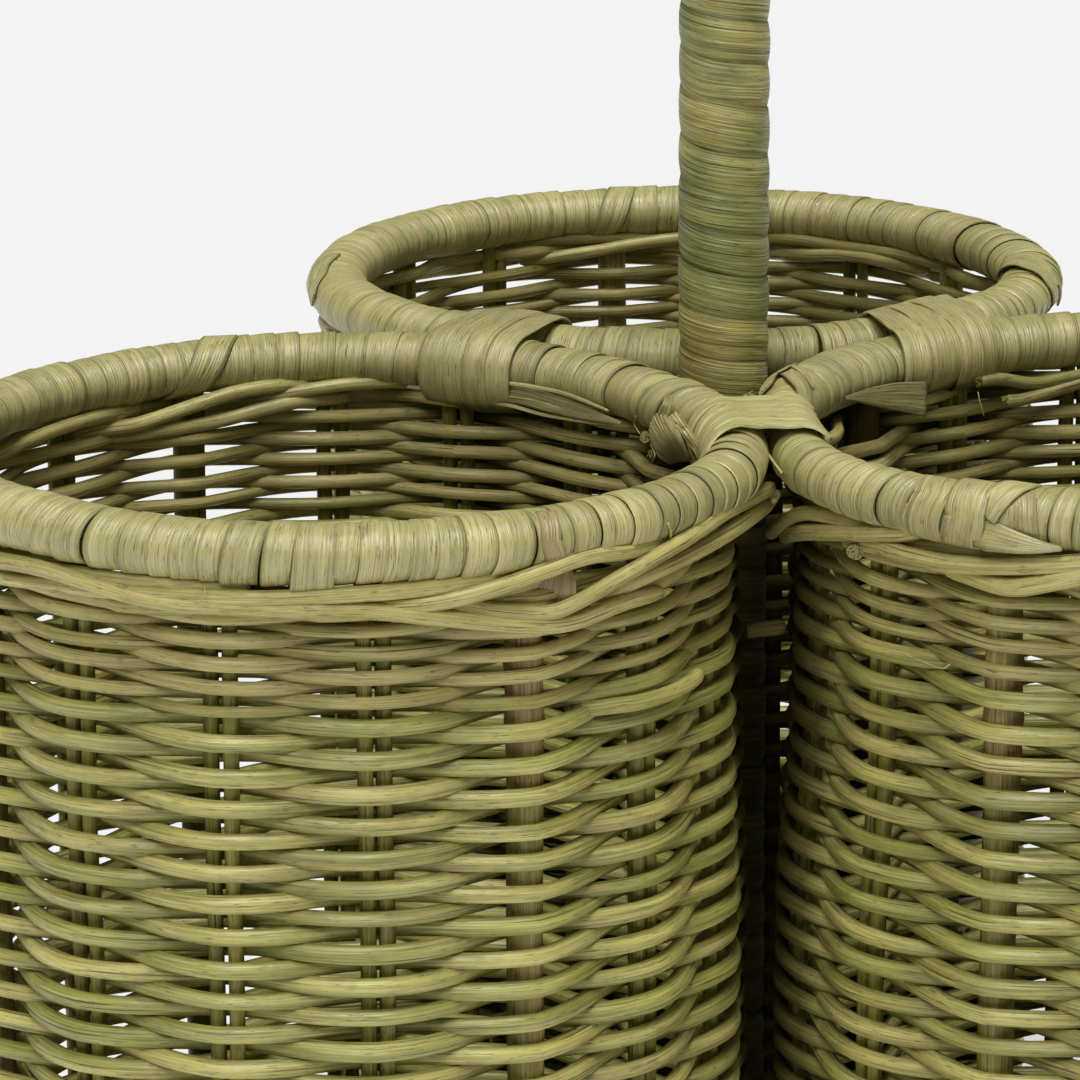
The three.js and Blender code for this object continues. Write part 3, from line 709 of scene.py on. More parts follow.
# ---- bases and foot borders ---------------------------------------------------------------------
for cell in CELL:
    rng = np.random.default_rng({"left": 51, "right": 53, "back": 57}[cell])
    c = centre(cell)
    base = Bag()
    n = N_ST * 8
    rows = np.arange(9.5, 49.6, 2.12)
    for i, rad in enumerate(rows):
        per = 1 if rad > 17 else 2
        k = np.arange(n) // 8
        t = (np.arange(n) % 8) / 8
        if per == 1:
            s = np.where((k + i) % 2 == 0, 1.0, -1.0)
            g = np.tanh(1.4 * np.cos(math.pi * t)) / math.tanh(1.4)
            dz = s * g * 1.72
        else:
            ph = (np.arange(n) / 16.0 + i) * math.pi
            dz = 1.72 * np.tanh(2.0 * np.cos(ph)) / math.tanh(2.0)
        z = 10.3 + np.clip(dz, -1.9, 1.9)
        path, nrm = ring_path(cell, rad + noise_ring(rng, n, (1, 2, 3), 0.08), z)
        r = 0.98 * (1 + rng.normal(0, 0.03))
        base.sweep(path, nrm, oval(7, 0.03, rng), (r, r), look_of(rng, 0.5, 0.4), closed=True,
                   along=(rng.uniform(0, 900), rng.uniform(0, 60)))
    for k in (0, 1, 2, 3):  # the sticks of the middle cross
        for o in (-1.9, 0.0, 1.9):
            ang = math.radians(CELL[cell] + 90 * (k % 2))
            e = np.array([math.cos(ang), math.sin(ang), 0])
            q = np.array([-math.sin(ang), math.cos(ang), 0])
            if k > 1:
                continue
            zz = 10.3 + (0.95 if k == 0 else -0.95)
            s = np.linspace(-49.0, 49.0, 24)
            path = np.array([c[0], c[1], zz]) + e * s[:, None] + q * o
            base.tube(path, np.array([[0, 0, 1.0]]).repeat(24, 0), 0.95, look_of(rng, 0.5, 0.35, brown=0.2), sides=8,
                      along=(rng.uniform(0, 900), rng.uniform(0, 60)))
    # close turns of fine core round the crossing
    for i, (rad, zz) in enumerate([(3.6, 12.2), (5.0, 12.0), (6.5, 11.9), (8.0, 12.0), (6.5, 8.6), (8.0, 8.6)]):
        n2 = 64
        path, nrm = ring_path(cell, np.full(n2, rad), zz + 0.35 * np.sin(np.arange(n2) * TAU * 4 / n2 + i * math.pi))
        base.sweep(path, nrm, oval(7), (0.8, 0.8), look_of(rng, 0.5, 0.35), closed=True,
                   along=(rng.uniform(0, 900), rng.uniform(0, 60)))
    base.make(f"{cell}_base_weavers", M_BASE, (f"{cell}_base_weave",))

    foot = Bag()
    n = 288
    a = np.arange(n) * TAU / n
    turns = 28
    for m3 in range(4):
        ph = a * turns + m3 * TAU / 4 + rng.normal(0, 0.08)
        r = 1.62 * (1 + rng.normal(0, 0.02))
        rho = 54.6 + 2.35 * np.cos(ph)
        z = 3.5 + 1.80 * np.sin(ph) + 0.0 * a
        path, nrm = ring_path(cell, rho, z)
        foot.sweep(path, nrm, oval(9, 0.02, rng), (r, r), look_of(rng, 0.5, 0.4), closed=True,
                   along=(rng.uniform(0, 900), rng.uniform(0, 60)))
    path, nrm = ring_path(cell, np.full(96, 54.6), np.full(96, 3.5))
    foot.sweep(path, nrm, oval(8), (1.3, 1.3), look_of(rng, 0.2, 0.3, 0.4), closed=True, along=(5, 5))
    foot.make(f"{cell}_foot_rope", M_BASE, (f"{cell}_foot_border",))


# ---- rims ---------------------------------------------------------------------------------------
# The rims aren't perfect rings: outer radius, inner radius and height, by degrees from the outward direction.
RIM_SHAPE = {
    "left": [(0, 60, 50.3, 0.5), (15, 60, 50.3, 0.8), (30, 60, 50.3, 0.3), (50, 60, 50.3, 0), (80, 60.1, 50.4, -0.2), (90, 60.2, 50.6, -0.4),
             (100, 60.4, 50.8, -0.3), (110, 60.8, 51.5, -0.3), (120, 60.8, 52, -0.2), (130, 61, 52, -0.4), (140, 60.3, 51.5, 0), (150, 60.2, 51, 0),
             (160, 59.8, 50.4, -0.3), (170, 59.6, 50.2, -0.6), (180, 59.8, 50.2, -0.8), (195, 60, 50.3, -0.5), (215, 60, 50.3, 0), (260, 60, 50.3, -0.2),
             (280, 59.9, 50.3, -0.7), (300, 60, 50.3, -0.4), (330, 60, 50.3, 0.2)],
    "right": [(0, 60, 50.3, 0), (60, 60, 50.3, 0), (140, 60, 50.3, 0), (150, 60, 50.3, 0), (160, 60.6, 50.3, 0), (170, 61.2, 50.8, 0), (180, 61.9, 51.8, 0),
              (190, 61.8, 53, 0), (200, 61, 53.6, 0), (210, 60.6, 53.6, -0.2), (220, 61.9, 54.0, -0.5), (230, 63.0, 54.7, -0.8), (240, 62.5, 54.1, -1.0),
              (250, 61.5, 52.8, -1.0), (260, 60.6, 51.2, -0.6), (270, 60, 50.3, -0.1), (290, 60, 50.3, 0)],
    "back": [(0, 60, 50.3, 0), (90, 59.6, 50.1, 0), (180, 60, 50.3, 0), (250, 60.4, 50.6, 0), (268, 61.0, 51, 0), (285, 60.5, 50.6, 0), (310, 60, 50.3, 0)],
}


def rim_shape(cell, theta):
    """Centre line radius, half width and height of a rim at theta (radians)."""
    tab = RIM_TABLE[cell]
    x = (np.asarray(theta, float) % TAU) / TAU * 720
    i = x.astype(int) % 720
    f = x - np.floor(x)
    j = (i + 1) % 720
    out, inn, dz = (tab[k][i] * (1 - f) + tab[k][j] * f for k in range(3))
    return (out + inn) / 2, (out - inn) / 2, RIM_Z + dz


RIM_TABLE = {}
for _cell, _rows in RIM_SHAPE.items():
    _r = np.array(_rows, float)
    _deg = np.arange(720) / 2.0
    _ker = np.hanning(25)
    _ker /= _ker.sum()
    RIM_TABLE[_cell] = []
    for _k in (1, 2, 3):
        _v = np.interp(_deg, np.append(_r[:, 0], 360), np.append(_r[:, _k], _r[0, _k]))
        RIM_TABLE[_cell].append(np.convolve(np.tile(_v, 3), _ker, "same")[720:1440])


def rim_point(cell, theta, phi, out=0.0):
    """theta round the cell in radians from its outward direction, phi round the section from outside."""
    c = centre(cell)
    a = theta + math.radians(CELL[cell])
    mid_r, half, mid_z = rim_shape(cell, theta)
    nx, nz = np.cos(phi) / half, np.sin(phi) / RIM_B
    nl = np.hypot(nx, nz)
    rho = mid_r + (half - 0.42) * np.cos(phi) + out * nx / nl
    z = mid_z + (RIM_B - 0.42) * np.sin(phi) + out * nz / nl
    p = np.stack([c[0] + rho * np.cos(a), c[1] + rho * np.sin(a), z], -1)
    nrm = np.stack([nx / nl * np.cos(a), nx / nl * np.sin(a), nz / nl], -1)
    return p, nrm


def rim_strip(bag, rng, cell, theta0, width, skew=0.0, lift=0.0, tilt=0.0, look=None, phi0=None, span=TAU + 0.35, n=30,
              thick=0.34, dirt_and_shade=(0.0, 0.0), taper=None, sag=0.0, sag_at=-1.0):
    """One turn of peel round the rim, with its start under the inner side."""
    s = np.linspace(0, 1, n)
    p0 = -1.9 + rng.normal(0, 0.12) if phi0 is None else phi0
    phi = p0 + s * span
    th = theta0 + (skew * (s - 0.5) + noise_line(rng, n, 5, 0.06)) / RIM_R
    ends = 0.2 * (np.clip((s - 0.95) / 0.05, 0, 1) - np.clip((0.05 - s) / 0.05, 0, 1))
    low = sag * np.exp(-(((phi - sag_at) / 0.55) ** 2))
    p, nrm = rim_point(cell, th, phi, lift + ends + low + noise_line(rng, n, 6, 0.03))
    half = width / 2 * (1 + noise_line(rng, n, 5, 0.03))
    if taper is not None:
        half = half * np.interp(s, [0, 0.12, 0.88, 1], taper)
    size = np.stack([np.full(n, thick), half], 1)
    sec = PEEL_FLAT.copy()
    sec[:, 0] += tilt * sec[:, 1]
    look = look if look is not None else look_of(rng, 0.55, 0.35)
    bag.sweep(p, nrm, sec, size, edged(look, sec, *dirt_and_shade, start=0.80), along=(rng.uniform(0, 900), rng.uniform(0, 60)))


def rim_theta(cell, u, v):
    """The place on the seen side of a rim nearest to a pixel of the photograph's frame."""
    th = np.linspace(0, TAU, 1440, endpoint=False)
    best = None
    for phi in np.linspace(-1.3, math.pi - 0.2, 24):
        p, nr = rim_point(cell, th, np.full_like(th, phi), 0.4)
        d = p - CAM_POS
        w = d @ fwd
        px = 540 + F_PX * (d @ cam_x) / w
        py = 540 - F_PX * (d @ cam_y) / w
        e = np.hypot(px - u, py - v) + np.where((nr * d).sum(1) > 0, 500, 0)
        k = int(e.argmin())
        if best is None or e[k] < best[0]:
            best = (e[k], th[k], phi)
    return best[1], best[2]


def rim_patch(bag, rng, cell, pixels, width, lift, look, thick=0.34, tilt=0.0, n=22, dirt_and_shade=(0.4, 0.4), section=None):
    """A piece of peel on a rim through given pixels; width and lift one value or one per pixel, in mm."""
    spots = [rim_theta(cell, u, v) for u, v in pixels]
    th = np.unwrap([a for a, _ in spots])
    phi = np.array([f for _, f in spots])
    k = np.linspace(0, len(th) - 1, n)
    at = np.arange(len(th))
    th_n, phi_n = np.interp(k, at, th), np.interp(k, at, phi)
    lift_n = np.interp(k, at, np.broadcast_to(lift, len(th)))
    half = np.interp(k, at, np.broadcast_to(width, len(th))) / 2 * (1 + noise_line(rng, n, 5, 0.03))
    p, nrm = rim_point(cell, th_n, phi_n, lift_n)
    sec = (PEEL_FLAT if section is None else section).copy()
    sec[:, 0] += tilt * sec[:, 1]
    bag.sweep(p, nrm, sec, np.stack([np.full(n, thick), half], 1), edged(look, sec, *dirt_and_shade, start=0.8),
              along=(rng.uniform(0, 900), rng.uniform(0, 60)))


# Where a seam between groups of turns shows on the seen side, by pixel: how open, how dark at its edges (dirt and
# painted shadow).
SEAMS = {
    "left": [((84, 548), 0.06, 0.6), ((123, 540), 0.0, 0.4), ((226, 572), 0.05, 0.5), ((266, 566), 0.02, 0.6), ((297, 570), 0.0, 0.2),
             ((341, 570), 0.0, 0.2), ((471, 550), 0.0, 0.4), ((543, 552), 0.0, 0.5), ((566, 545), 0.05, 0.6), ((580, 535), 0.0, 0.6),
             ((668, 528), 0.03, 0.6), ((89, 388), 0.12, 0.85), ((45, 404), 0.0, 0.5), ((152, 374), 0.08, 0.7), ((300, 345), 0.0, 0.4),
             ((230, 350), 0.0, 0.3), ((560, 335), 0.0, 0.4), ((615, 372), 0.0, 0.5)],
    "right": [((916, 492), 0.16, 0.8), ((878, 505), 0.05, 0.6), ((845, 480), 0.0, 0.4), ((1053, 520), 0.0, 0.5), ((1077, 520), 0.02, 0.5),
              ((799, 462), 0.18, 0.9), ((785, 450), 0.0, 0.4), ((860, 335), 0.0, 0.5), ((930, 315), 0.0, 0.4), ((1000, 312), 0.0, 0.4)],
    "back": [((330, 262), 0.05, 0.6), ((345, 240), 0.0, 0.4), ((420, 205), 0.0, 0.5), ((560, 196), 0.05, 0.6), ((700, 205), 0.0, 0.4),
             ((850, 215), 0.0, 0.5), ((960, 235), 0.0, 0.5), ((1030, 262), 0.08, 0.8)],
}
# Single strips that lie slanted over the turns: pixel, skew in mm, width, lift.
SLANTED = {
    "left": [((206, 370), 12.0, 5.2, 0.42), ((650, 405), 8.0, 5.2, 0.34)],
    "right": [],
    "back": [((613, 213), 7.5, 4.8, 0.44)],
}
LOBES = {"left": [(318, 575, 1.25), (240, 570, 0.35), (205, 565, 0.25)], "right": [], "back": []}

for cell in CELL:
    rng = np.random.default_rng({"left": 71, "right": 73, "back": 79}[cell])
    wrap = Bag()
    # seams darken the strips' edges: dirt, and painted shadow where turns overlap
    seams = sorted((rim_theta(cell, u, v)[0], gap, dirt_and_shade) for (u, v), gap, dirt_and_shade in SEAMS[cell])
    # more seams where none were given
    full = []
    for (a0, gap, dirt_and_shade), (a1, _, _) in zip(seams, seams[1:] + [(seams[0][0] + TAU, 0, 0)]):
        full.append((a0, gap, dirt_and_shade))
        at = a0
        while (a1 - at) * RIM_R > 24:
            at += rng.uniform(8, 17) / RIM_R
            full.append((at, rng.choice([0.0, 0.08, 0.2], p=[0.7, 0.22, 0.08]), rng.uniform(0.2, 0.7)))
    ends_at = [f[0] for f in full[1:]] + [full[0][0] + TAU]
    lobes = [(rim_theta(cell, u, v)[0], d) for u, v, d in LOBES[cell]]
    for j, ((a0, gap0, dirt_and_shade0), a1) in enumerate(zip(full, ends_at)):
        gap1, dirt_and_shade1 = full[(j + 1) % len(full)][1:]
        length = (a1 - a0) * RIM_R
        count = max(1, round(length / rng.uniform(3.3, 4.7)))
        parts = rng.uniform(0.75, 1.25, count)
        parts = parts / parts.sum() * length
        # the back rim's turns are painted lighter than the others: painted light
        group = look_of(rng, 0.72 if cell == "back" else 0.55, 0.30, 0.0, spread=0.07)
        g_lift, g_skew = rng.uniform(0.0, 0.30), 2.6 + rng.normal(0, 0.5)
        sag = max([d for t, d in lobes if a0 - 0.01 < t < a1 + 0.01] + [rng.uniform(-0.1, 0.25)])
        at = a0 * RIM_R
        for i, w in enumerate(parts):
            lo = 0.30 - gap0 * 1.6 if i == 0 else 0.55
            hi = 0.10 - gap1 * 0.4 if i == count - 1 else 0.05
            width = w + lo + hi
            mid = (at - lo + at + w + hi) / 2
            look = group.copy()
            look[:2] += rng.normal(0, 0.05, 2)
            if rng.random() < 0.025:
                look[3] = 0.25
            rim_strip(wrap, rng, cell, mid / RIM_R, width, skew=g_skew, lift=g_lift + rng.normal(0.0, 0.035), tilt=-0.42,
                      look=np.clip(look, 0, 1), dirt_and_shade=(dirt_and_shade0 if i == 0 else 0.0, dirt_and_shade1 if i == count - 1 else rng.choice([0.0, 0.25])),
                      sag=sag * (1 - 0.45 * (abs(2 * (i + 0.5) / count - 1)) ** 2.5 if sag > 0.5 else 1), sag_at=-1.0)
            at += w
    for (u, v), sk, w, lift in SLANTED[cell]:
        th, phi = rim_theta(cell, u, v)
        rim_strip(wrap, rng, cell, th, w, skew=sk, lift=lift, tilt=0.1, look=look_of(rng, 0.62, 0.25, spread=0.05),
                  phi0=phi - 2.0, span=4.0, n=26, dirt_and_shade=(0.8, 0.8), taper=[0.5, 1, 1, 0.5])
    if cell == "left":
        # brown skin beside the lashing
        rim_strip(wrap, rng, cell, rim_theta(cell, 519, 370)[0], 3.3, skew=2.4, lift=0.24, tilt=-0.2, look=np.array([0.45, 0.2, 0.0, 0.42]), dirt_and_shade=(0.4, 0.2))
        # a reddish strip and a dark slit with a splinter
        rim_patch(wrap, rng, cell, [(546, 512), (551, 540), (556, 572)], [3.0, 3.2, 3.0], 0.30, np.array([0.55, 0.1, 0.0, 0.75]), dirt_and_shade=(0.2, 0.6))
        rim_patch(wrap, rng, cell, [(667, 524), (667, 540)], [0.5, 0.35], 0.45, np.array([0.95, 0.1, 0.0, 0.0]), thick=0.2)
    if cell == "right":
        # a folded strip beside the pole, with its torn edge up
        rim_patch(wrap, rng, cell, [(783, 368), (795, 379), (803, 395), (806, 412)], [2.2, 3.4, 3.2, 2.6], [0.35, 0.6, 0.55, 0.5], np.array([0.55, 0.4, 0.0, 0.1]),
                  dirt_and_shade=(0.5, 0.9), n=26)
        rim_patch(wrap, rng, cell, [(789, 366), (800, 374), (812, 390)], [0.6, 1.3, 0.5], [0.7, 0.95, 0.6], np.array([0.8, 0.3, 0.0, 0.1]), thick=0.2, dirt_and_shade=(0.3, 0.7))
        rim_patch(wrap, rng, cell, [(1018, 486), (1020, 510), (1022, 536)], 5.2, 0.22, np.array([0.5, 0.1, 0.0, 0.5]), dirt_and_shade=(0.3, 0.3))
        rim_patch(wrap, rng, cell, [(1034, 476), (1012, 490), (986, 518)], [4.2, 4.8, 3.6], [0.45, 0.7, 0.6], np.array([0.75, 0.2, 0.0, 0.0]), tilt=-0.2, dirt_and_shade=(0.3, 0.85))
        rim_patch(wrap, rng, cell, [(985, 470), (974, 490), (966, 520), (961, 553)], [5.6, 6.2, 6.2, 5.8], [0.4, 0.7, 0.85, 1.0], np.array([0.6, 0.15, 0.0, 0.16]),
                  dirt_and_shade=(0.2, 0.7), n=30)
        rim_patch(wrap, rng, cell, [(944, 472), (934, 495), (928, 545)], [5.4, 5.8, 5.6], [0.25, 0.45, 0.6], np.array([0.6, 0.15, 0.0, 0.14]), dirt_and_shade=(0.2, 0.0), n=30)
        rim_patch(wrap, rng, cell, [(914, 507), (912, 536)], 2.6, 0.5, np.array([0.68, 0.3, 0.0, 0.0]), dirt_and_shade=(0.5, 0.0), thick=0.2)
        # where the rim meets the pole
        rim_patch(wrap, rng, cell, [(767, 391), (772, 382), (779, 374), (790, 368)], [2.6, 3.6, 3.8, 3.0], [0.8, 0.95, 0.9, 0.5], np.array([0.9, 0.2, 0.0, 0.05]),
                  dirt_and_shade=(0.1, 0.25))
    if cell == "back":
        # an outer strip that follows the rim at its right end, and a torn one at its left end
        rim_patch(wrap, rng, cell, [(1000, 268), (1016, 262), (1034, 268), (1050, 284), (1053, 302)], [4.4, 6.2, 6.4, 5.2, 3.8], [0.25, 0.5, 0.55, 0.5, 0.5],
                  np.array([0.58, 0.25, 0.0, 0.0]), dirt_and_shade=(0.5, 0.3), n=34)
        rim_patch(wrap, rng, cell, [(1048, 270), (1056, 288), (1057, 306)], [1.4, 1.8, 1.2], [0.55, 0.7, 0.8], np.array([0.45, 0.3, 0.25, 0.1]), dirt_and_shade=(0.9, 0.4))
        rim_patch(wrap, rng, cell, [(334, 254), (324, 264), (318, 280), (316, 300)], [2.2, 3.8, 4.0, 3.0], [0.25, 0.4, 0.5, 0.6], np.array([0.66, 0.25, 0.0, 0.0]),
                  dirt_and_shade=(0.5, 0.7), n=30)
    wrap.make(f"{cell}_rim_wrapping", M_PEEL, (f"{cell}_rim_wrap",))
    core = Bag()
    mid_r, half, mid_z = rim_shape(cell, np.arange(144) * TAU / 144)
    path, nrm = ring_path(cell, mid_r, mid_z)
    # dark hoop: painted shade for the gaps between the turns of wrapping
    core.sweep(path, nrm, oval(16), np.stack([half - 0.5, np.full(144, RIM_B - 0.5)], 1), look_of(rng, 0.1, 0.3, 0.9), closed=True)
    core.make(f"{cell}_rim_core", M_INNER, (f"{cell}_rim_hoop",))


# ---- bindings between rims ----------------------------------------------------------------------
JOINS = {270: ("right", "left"), 150: ("left", "back"), 30: ("back", "right")}  # cells on the +q and the -q side


def rim_beside(cell, direction, along):
    """Where a cell's rim passes a given distance from the middle, near a junction: across, half width, height."""
    a = math.radians(direction)
    e, q = np.array([math.cos(a), math.sin(a)]), np.array([-math.sin(a), math.cos(a)])
    th = np.linspace(0, TAU, 1440, endpoint=False)
    r, half, z = rim_shape(cell, th)
    w = th + math.radians(CELL[cell])
    p = centre(cell) + np.stack([r * np.cos(w), r * np.sin(w)], 1) - MID
    side_on = np.where(np.abs(p @ q) < 20, np.abs(p @ e - along), 99)
    k = int(side_on.argmin())
    return p[k] @ q, half[k], z[k]


def strap(bag, rng, direction, offset, width, grow=0.5, lean=0.0, look=None, thick=0.42, bow=0.0, dirt_and_shade=(0.3, 0.3), tilt=0.0,
          reach=None, fan=(0.0, 0.0), belly=0.0):
    """A loop of peel round two neighbouring rims, at offset along the line between them. With reach it is an
    arc over the top only, that far round each rim; fan bends its -q and +q sides away from the middle."""
    a = math.radians(direction)
    e = np.array([math.cos(a), math.sin(a), 0])  # away from the middle
    q = np.array([-math.sin(a), math.cos(a), 0])  # from one cell to the other
    plus, minus = (rim_beside(c, direction, CELL_DIST / 2 + offset + k * 0.8 * lean) for c, k in zip(JOINS[direction], (1, -1)))
    if plus[0] < minus[0]:
        plus, minus = minus, plus
    pts, nr = [], []
    near = 1 if direction == 150 else -1

    def around(spot, lo, hi):
        x0, half, z0 = spot
        for t in np.radians(np.linspace(lo, hi, 11)):
            g = grow if reach is None else 0.45 + (grow - 0.12) * np.clip(math.sin(t) + 0.15, 0, 1)
            if math.cos(t) * near > 0:  # hangs down on the side that is seen
                g += belly * np.clip(-math.sin(t) - 0.1, 0, 1)
            pts.append((x0 + (half + 0.05 + g) * math.cos(t), z0 - RIM_Z + (RIM_B + 0.05 + g) * math.sin(t)))
            nr.append((math.cos(t), math.sin(t)))

    def between(p, m, sgn, rise):
        for f in (0.25, 0.5, 0.75):
            x = p[0] * (1 - f) + m[0] * f
            z = (p[2] * (1 - f) + m[2] * f) - RIM_Z + sgn * (RIM_B + 0.05 + grow) + rise * 4 * f * (1 - f)
            pts.append((x, z))
            nr.append((0, sgn))

    around(plus, -90 if reach is None else -reach[0], 90)
    between(plus, minus, 1, bow)
    around(minus, 90, 270 if reach is None else 180 + reach[1])
    if reach is None:
        between(minus, plus, -1, 0.2)
    pts, nr = np.array(pts), np.array(nr)
    mid = np.array([MID[0], MID[1], RIM_Z]) + e * (CELL_DIST / 2 + offset)
    slope = lean * pts[:, :1] / 11 + np.where(pts[:, :1] < 0, fan[0], fan[1]) * pts[:, :1] ** 2
    P = mid + q * pts[:, :1] + np.array([0, 0, 1.0]) * pts[:, 1:] + e * slope
    Nn = q * nr[:, :1] + np.array([0, 0, 1.0]) * nr[:, 1:]
    n = 72
    path = spline(P, n, closed=reach is None)
    nrm = spline(P + Nn, n, closed=reach is None) - path
    size = np.stack([np.full(n, thick), width / 2 * (1 + noise_ring(rng, n, (2, 3, 5), 0.03))], 1)
    if reach is not None:
        size[:, 1] *= np.interp(np.arange(n), [0, 8, n - 9, n - 1], [0.8, 1, 1, 0.55])
    sec = PEEL_FINE.copy()
    sec[:, 0] += tilt * sec[:, 1]
    look = look if look is not None else look_of(rng, 0.6, 0.3, spread=0.12)
    look = np.tile(look, (n, 1))
    # painted shade: darker where the strap passes below the rims
    look[:, 2] = np.clip(look[:, 2] + 0.85 * np.clip((RIM_Z - 2.6 - belly - path[:, 2]) / 1.0, 0, 1), 0, 1)
    bag.sweep(path, nrm, sec, size, edged(look, sec, *dirt_and_shade), closed=reach is None, along=(rng.uniform(0, 900), rng.uniform(0, 60)))


# offset, width, how far out, lean, bow, tilt, dirt and painted shadow at the edges
for name, direction, node, spec in (
    ("left_back_lashing", 150, "left_back_binding",
     [(-1.9, 4.6, 1.0, 0.2, 0.2, -0.3, (0.95, 0.2)), (1.7, 4.2, 1.35, 0.1, 0.3, -0.1, (0.4, 0.3)),
      (5.0, 4.2, 1.15, 0.3, 0.3, -0.3, (0.2, 0.8)), (8.6, 4.6, 0.75, 0.0, 0.1, 0.5, (0.7, 0.8))]),
    ("right_back_lashing", 30, "right_back_binding",
     [(-5.2, 5.6, 0.85, 4.4, 0.2, 0.05, (0.3, 0.15)), (-0.6, 5.8, 1.05, 3.7, 0.4, 0.05, (0.25, 0.1)),
      (3.6, 5.0, 1.3, 2.8, 0.5, 0.05, (0.65, 0.1)), (6.7, 4.4, 1.0, 3.2, 0.2, 0.05, (0.15, 0.4))]),
    ("left_right_lashing", 270, "left_right_binding",
     [(-5.2, 4.6, 0.10, 0.0, -0.2, 0.1, (0.5, 0.1)), (-1.4, 4.8, 0.16, 0.0, -0.1, 0.1, (0.3, 0.1)), (2.4, 4.8, 0.22, 0.0, 0.0, 0.1, (0.1, 0.1)),
      (6.2, 4.8, 0.27, 0.0, 0.1, 0.1, (0.15, 0.1)), (9.8, 4.6, 0.30, 0.0, 0.1, 0.0, (0.1, 0.6))]),
):
    rng = np.random.default_rng(100 + direction)
    bag = Bag()
    for off, w, grow, lean, bow, tilt, dirt_and_shade in spec:
        front = direction == 270
        # the front lashing is painted lighter than the other two: painted light from above on its level top
        strap(bag, rng, direction, off, w, grow, lean, bow=bow, tilt=tilt, dirt_and_shade=dirt_and_shade, reach=(-36, 66) if front else None, fan=(0.045, 0.045) if front else (0.0, 0.0),
              belly=1.7 if direction == 150 else 0.0,
              look=look_of(rng, {270: 0.92, 30: 0.70, 150: 0.60}[direction], 0.15 if front else 0.20, brown={270: 0.0, 30: 0.14, 150: 0.05}[direction],
                           spread=0.04))
    if direction == 270:  # the same binding as it passes below the two rims
        for off in (-3.6, 0.0, 3.4):
            # painted shade on these turns below the two rims
            strap(bag, rng, direction, off, 3.4, 0.25, 0.2, bow=-3.2, dirt_and_shade=(0.4, 0.4), look=look_of(rng, 0.5, 0.3, 0.35, spread=0.05))
    bag.make(name, M_PEEL, (node,))


# ---- pole and loop ------------------------------------------------------------------------------
FORK_Z, LOOP_R, LEAN = 256.5, 38.0, 40.0
lean = math.radians(LEAN)
LOOP_Z = FORK_Z + LOOP_R / math.sin(lean)
P3 = np.array([POLE[0], POLE[1], 0.0])


def helix(bag, rng, line, radius, pitch, width, lookf, thick=0.42, per_turn=40, lift=0.10, section=None, dirt_and_shade=(0.5, 0.5), wobble=0.10):
    """Peel wound round a line of points; the line's own frame stays in the X-Z plane."""
    s = np.concatenate([[0], np.cumsum(np.linalg.norm(np.diff(line, axis=0), axis=1))])
    total = s[-1]
    z = 0.0
    t_all = unit(np.gradient(line, axis=0))
    base = PEEL_FINE if section is None else section
    while z < total - pitch * 0.6:
        pw = pitch * (1 + rng.normal(0, 0.07))
        n = per_turn + 5
        f = np.linspace(-0.06, 1.06, n)
        pos = np.clip(z + f * pw + noise_line(rng, n, 7, wobble), 0, total)
        cpt = np.stack([np.interp(pos, s, line[:, k]) for k in range(3)], 1)
        tt = unit(np.stack([np.interp(pos, s, t_all[:, k]) for k in range(3)], 1))
        y = np.array([0, 1.0, 0])
        x = np.cross(y, tt)
        ang = 2.2 - f * TAU
        nn = x * np.cos(ang)[:, None] + y * np.sin(ang)[:, None]
        r = radius - thick * 0.9 + lift * rng.normal(0, 0.6) + 0.06 * np.linspace(-1, 1, n)
        path = cpt + nn * r[:, None]
        sec = base.copy()
        sec[:, 0] += rng.uniform(0.0, 0.35) * sec[:, 1]
        size = np.stack([np.full(n, thick), width / 2 * (pw / pitch) * (1 + noise_line(rng, n, 7, 0.03))], 1)
        lk = edged(lookf(pos), sec, *dirt_and_shade, start=0.86)
        bag.sweep(path, nn, sec, size, lk, along=(rng.uniform(0, 900), rng.uniform(0, 60)))
        z += pw


def pole_look(pos):
    """The pole's skin: yellower at the top, green bands half way, yellow-brown where it meets the rims, and painted
    shade below the rims.
    """
    z = pos + 3.2
    n = len(z)
    turn = np.linspace(0, 1, n)
    lk = np.zeros((n, 4))
    lk[:, 0] = np.clip(0.50 + 0.14 * (z.mean() > 196) + rng.normal(0, 0.05), 0, 1)
    lk[:, 1] = 0.46 + 0.20 * np.exp(-(((z - 202) / 3.0) ** 2)) + 0.28 * np.exp(-(((z - 190) / 7.0) ** 2)) \
        - 0.16 * np.exp(-(((z - 210) / 3.5) ** 2)) - 0.08 * ease((178 - z) / 6) + noise_line(rng, n, 11, 0.20)
    # painted shade: darker below the rims
    lk[:, 2] = 0.95 * np.clip((165 - z) / 5, 0, 1)
    lk[:, 3] = 0.45 * ease((179 - z) / 6) * (0.45 + 0.55 * np.sin(turn * TAU + 2.6)) + 0.20 * np.clip((z - 214) / 4, 0, 1) * rng.uniform(0.2, 1) \
        + np.clip(noise_line(rng, n, 9, 0.15), 0, 1)
    return np.clip(lk, 0, 1)


rng = np.random.default_rng(200)
PEEL_POLE = peel(9, 0.80, 0.95)
pole_wrap = Bag()
line = np.stack([np.full(60, POLE[0]), np.full(60, POLE[1]), np.linspace(3.2, 243.4, 60)], 1)
helix(pole_wrap, rng, line, 6.50, 6.15, 6.5, pole_look, thick=0.5, section=PEEL_POLE, dirt_and_shade=(0.35, 0.8), wobble=0.20)
pole_wrap.make("handle_pole_wrapping", M_POLE, ("handle_pole_wrap",))

